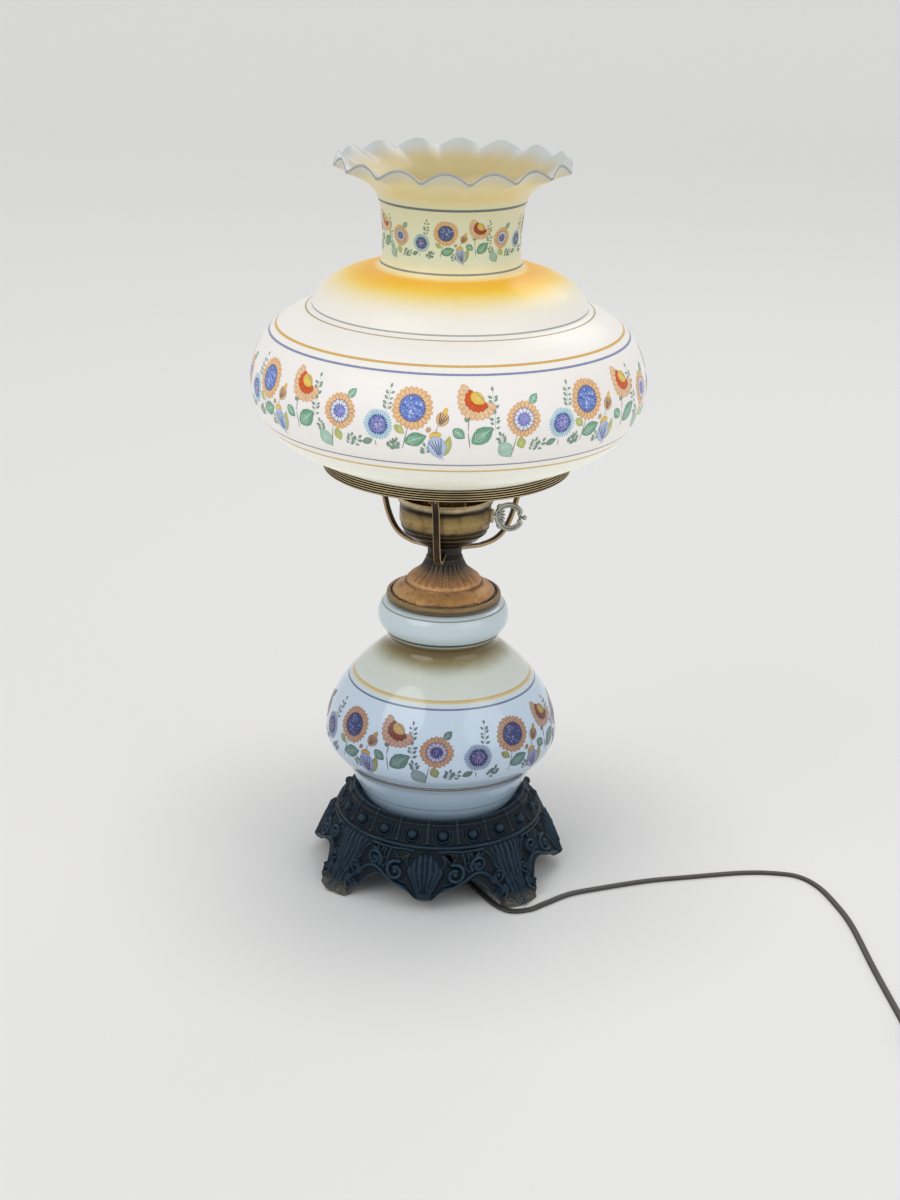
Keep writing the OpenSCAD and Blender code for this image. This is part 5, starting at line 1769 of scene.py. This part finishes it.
def ballAt(x, z, radius, long=1.0, turn=0.0, flat=1.0):
    # A ball at a place from the key's middle, drawn out along a turned line and pressed flat.
    clearSelection()
    bpy.ops.mesh.primitive_uv_sphere_add(segments=20, ring_count=12, radius=radius * mm, location=(0, 0, 0))
    ball = bpy.context.object
    ball.data.transform(moveMatrix((keyFacts["middle"] + x) * mm, 0, (keyFacts["height"] + z) * mm)
                        @ turnMatrix(-turn, "Y") @ Matrix.Diagonal((long, flat, 1, 1)))
    return ball


def makeKey(facts):
    # A C-shaped double ring with ball ends, a shell of four fingers on the shaft's side, two small
    # wings, and a ball at the front.
    parts = [wireRing(*ring, facts) for ring in facts["rings"]]
    for sign in (-1, 1):
        parts += [ballAt(x, z * sign, radius) for x, z, radius in facts["endBalls"]]
        a = math.radians(180 + facts["wingTurn"] * sign)
        parts.append(ballAt(facts["radius"] * math.cos(a), facts["radius"] * math.sin(a), *facts["wing"],
                            90 + math.degrees(a)))
        for rise in facts["fingers"]:
            near, far, long = facts["fanned"]
            turn = math.degrees(math.atan2(far * rise * sign, long))
            parts.append(ballAt(facts["fingerAt"], near * rise * sign, *facts["finger"], turn))
    parts += [ballAt(*ball) for ball in facts["middleBalls"]]
    shaft = cylinderAt(facts["shaftRadius"], facts["shaftTo"] - facts["shaftFrom"],
                       (facts["shaftTo"] + facts["shaftFrom"]) / 2, 0, facts["height"], 32,
                       (0, math.pi / 2, 0))
    roundEdges(shaft, 0.35, 2)
    key = joinAll("turnKey", parts + [shaft])
    smoothShade(key, 45)
    return key


finishPiece(makeCap(capFacts), "stand", rustyCopper, ("vase_cap",))
finishPiece(makeCup(cupFacts), "stand", cupBrass, ("burner_cup",))
finishPiece(makeRing(ringFacts), "stand", ringBrass, ("shade_ring",))
for name, arm in makeArms(armFacts).items():
    arm.name = arm.data.name = name.replace("arm_", "bronzeArm_")
    finishPiece(arm, "stand", armBronze, (name,))
finishPiece(makeKey(keyFacts), "key", pewter, ("turn_key",))
print("spun and cast metal pieces are made")


# Finishes of the parts that stay as they are.

def bulbMaterial(name):
    # Frosted glass, lit from inside and a little brighter at its middle.
    material, tree, shader = ceramicMaterial(name, paint(250, 244, 228), 0.3, {"Emission Strength": 0.8})
    lit = ranged(tree, heightOf(tree), 0.35, 0.40, 0.25, 0.9)
    feed(tree, shader, {"Emission Color": blend(tree, lit, paint(255, 206, 130), paint(255, 240, 214))})
    return material


solderTin = metalMaterial("solderTin", paint(150, 150, 146), paint(84, 84, 82), paint(200, 200, 196),
                          size=200, share=0.4, wear=0.4, smooth=0.3, rough=0.5)
keptFinishes = [
    (plainSteel, ("base_washer", "lamp_pipe", "bulb_base")),
    (plainBrass, ("base_locknut", "cup_locknut", "socket_cap", "socket_shell", "screw_shell",
                  "centre_contact", "terminal_screws", "plug_blades")),
    (brownBakelite, ("cord_bushing", "socket_body")),
    (blackFelt, ("seat_gasket", "cap_gasket")),
    (brownVinyl, ("riser_cord",)),
    (knurledBrass, ("arm_hub",)),
    (solderTin, ("bulb_tip",)),
    # the cream bush is partly its own colour and partly painted light from the bulb through the key's hole
    (ceramicMaterial("creamBush", paint(226, 214, 184), 0.4)[0], ("key_bush",)),
    (ceramicMaterial("kraftLiner", paint(120, 92, 60), 0.75)[0], ("socket_liner",)),
    (bulbMaterial("frostedBulb"), ("bulb_glass",)),
]

for material, names in keptFinishes:
    for name in names:
        slots = nodes[name].data.materials
        if not slots:
            slots.append(material)
        for k in range(len(slots)):
            slots[k] = material
print("all kept parts have their finish")
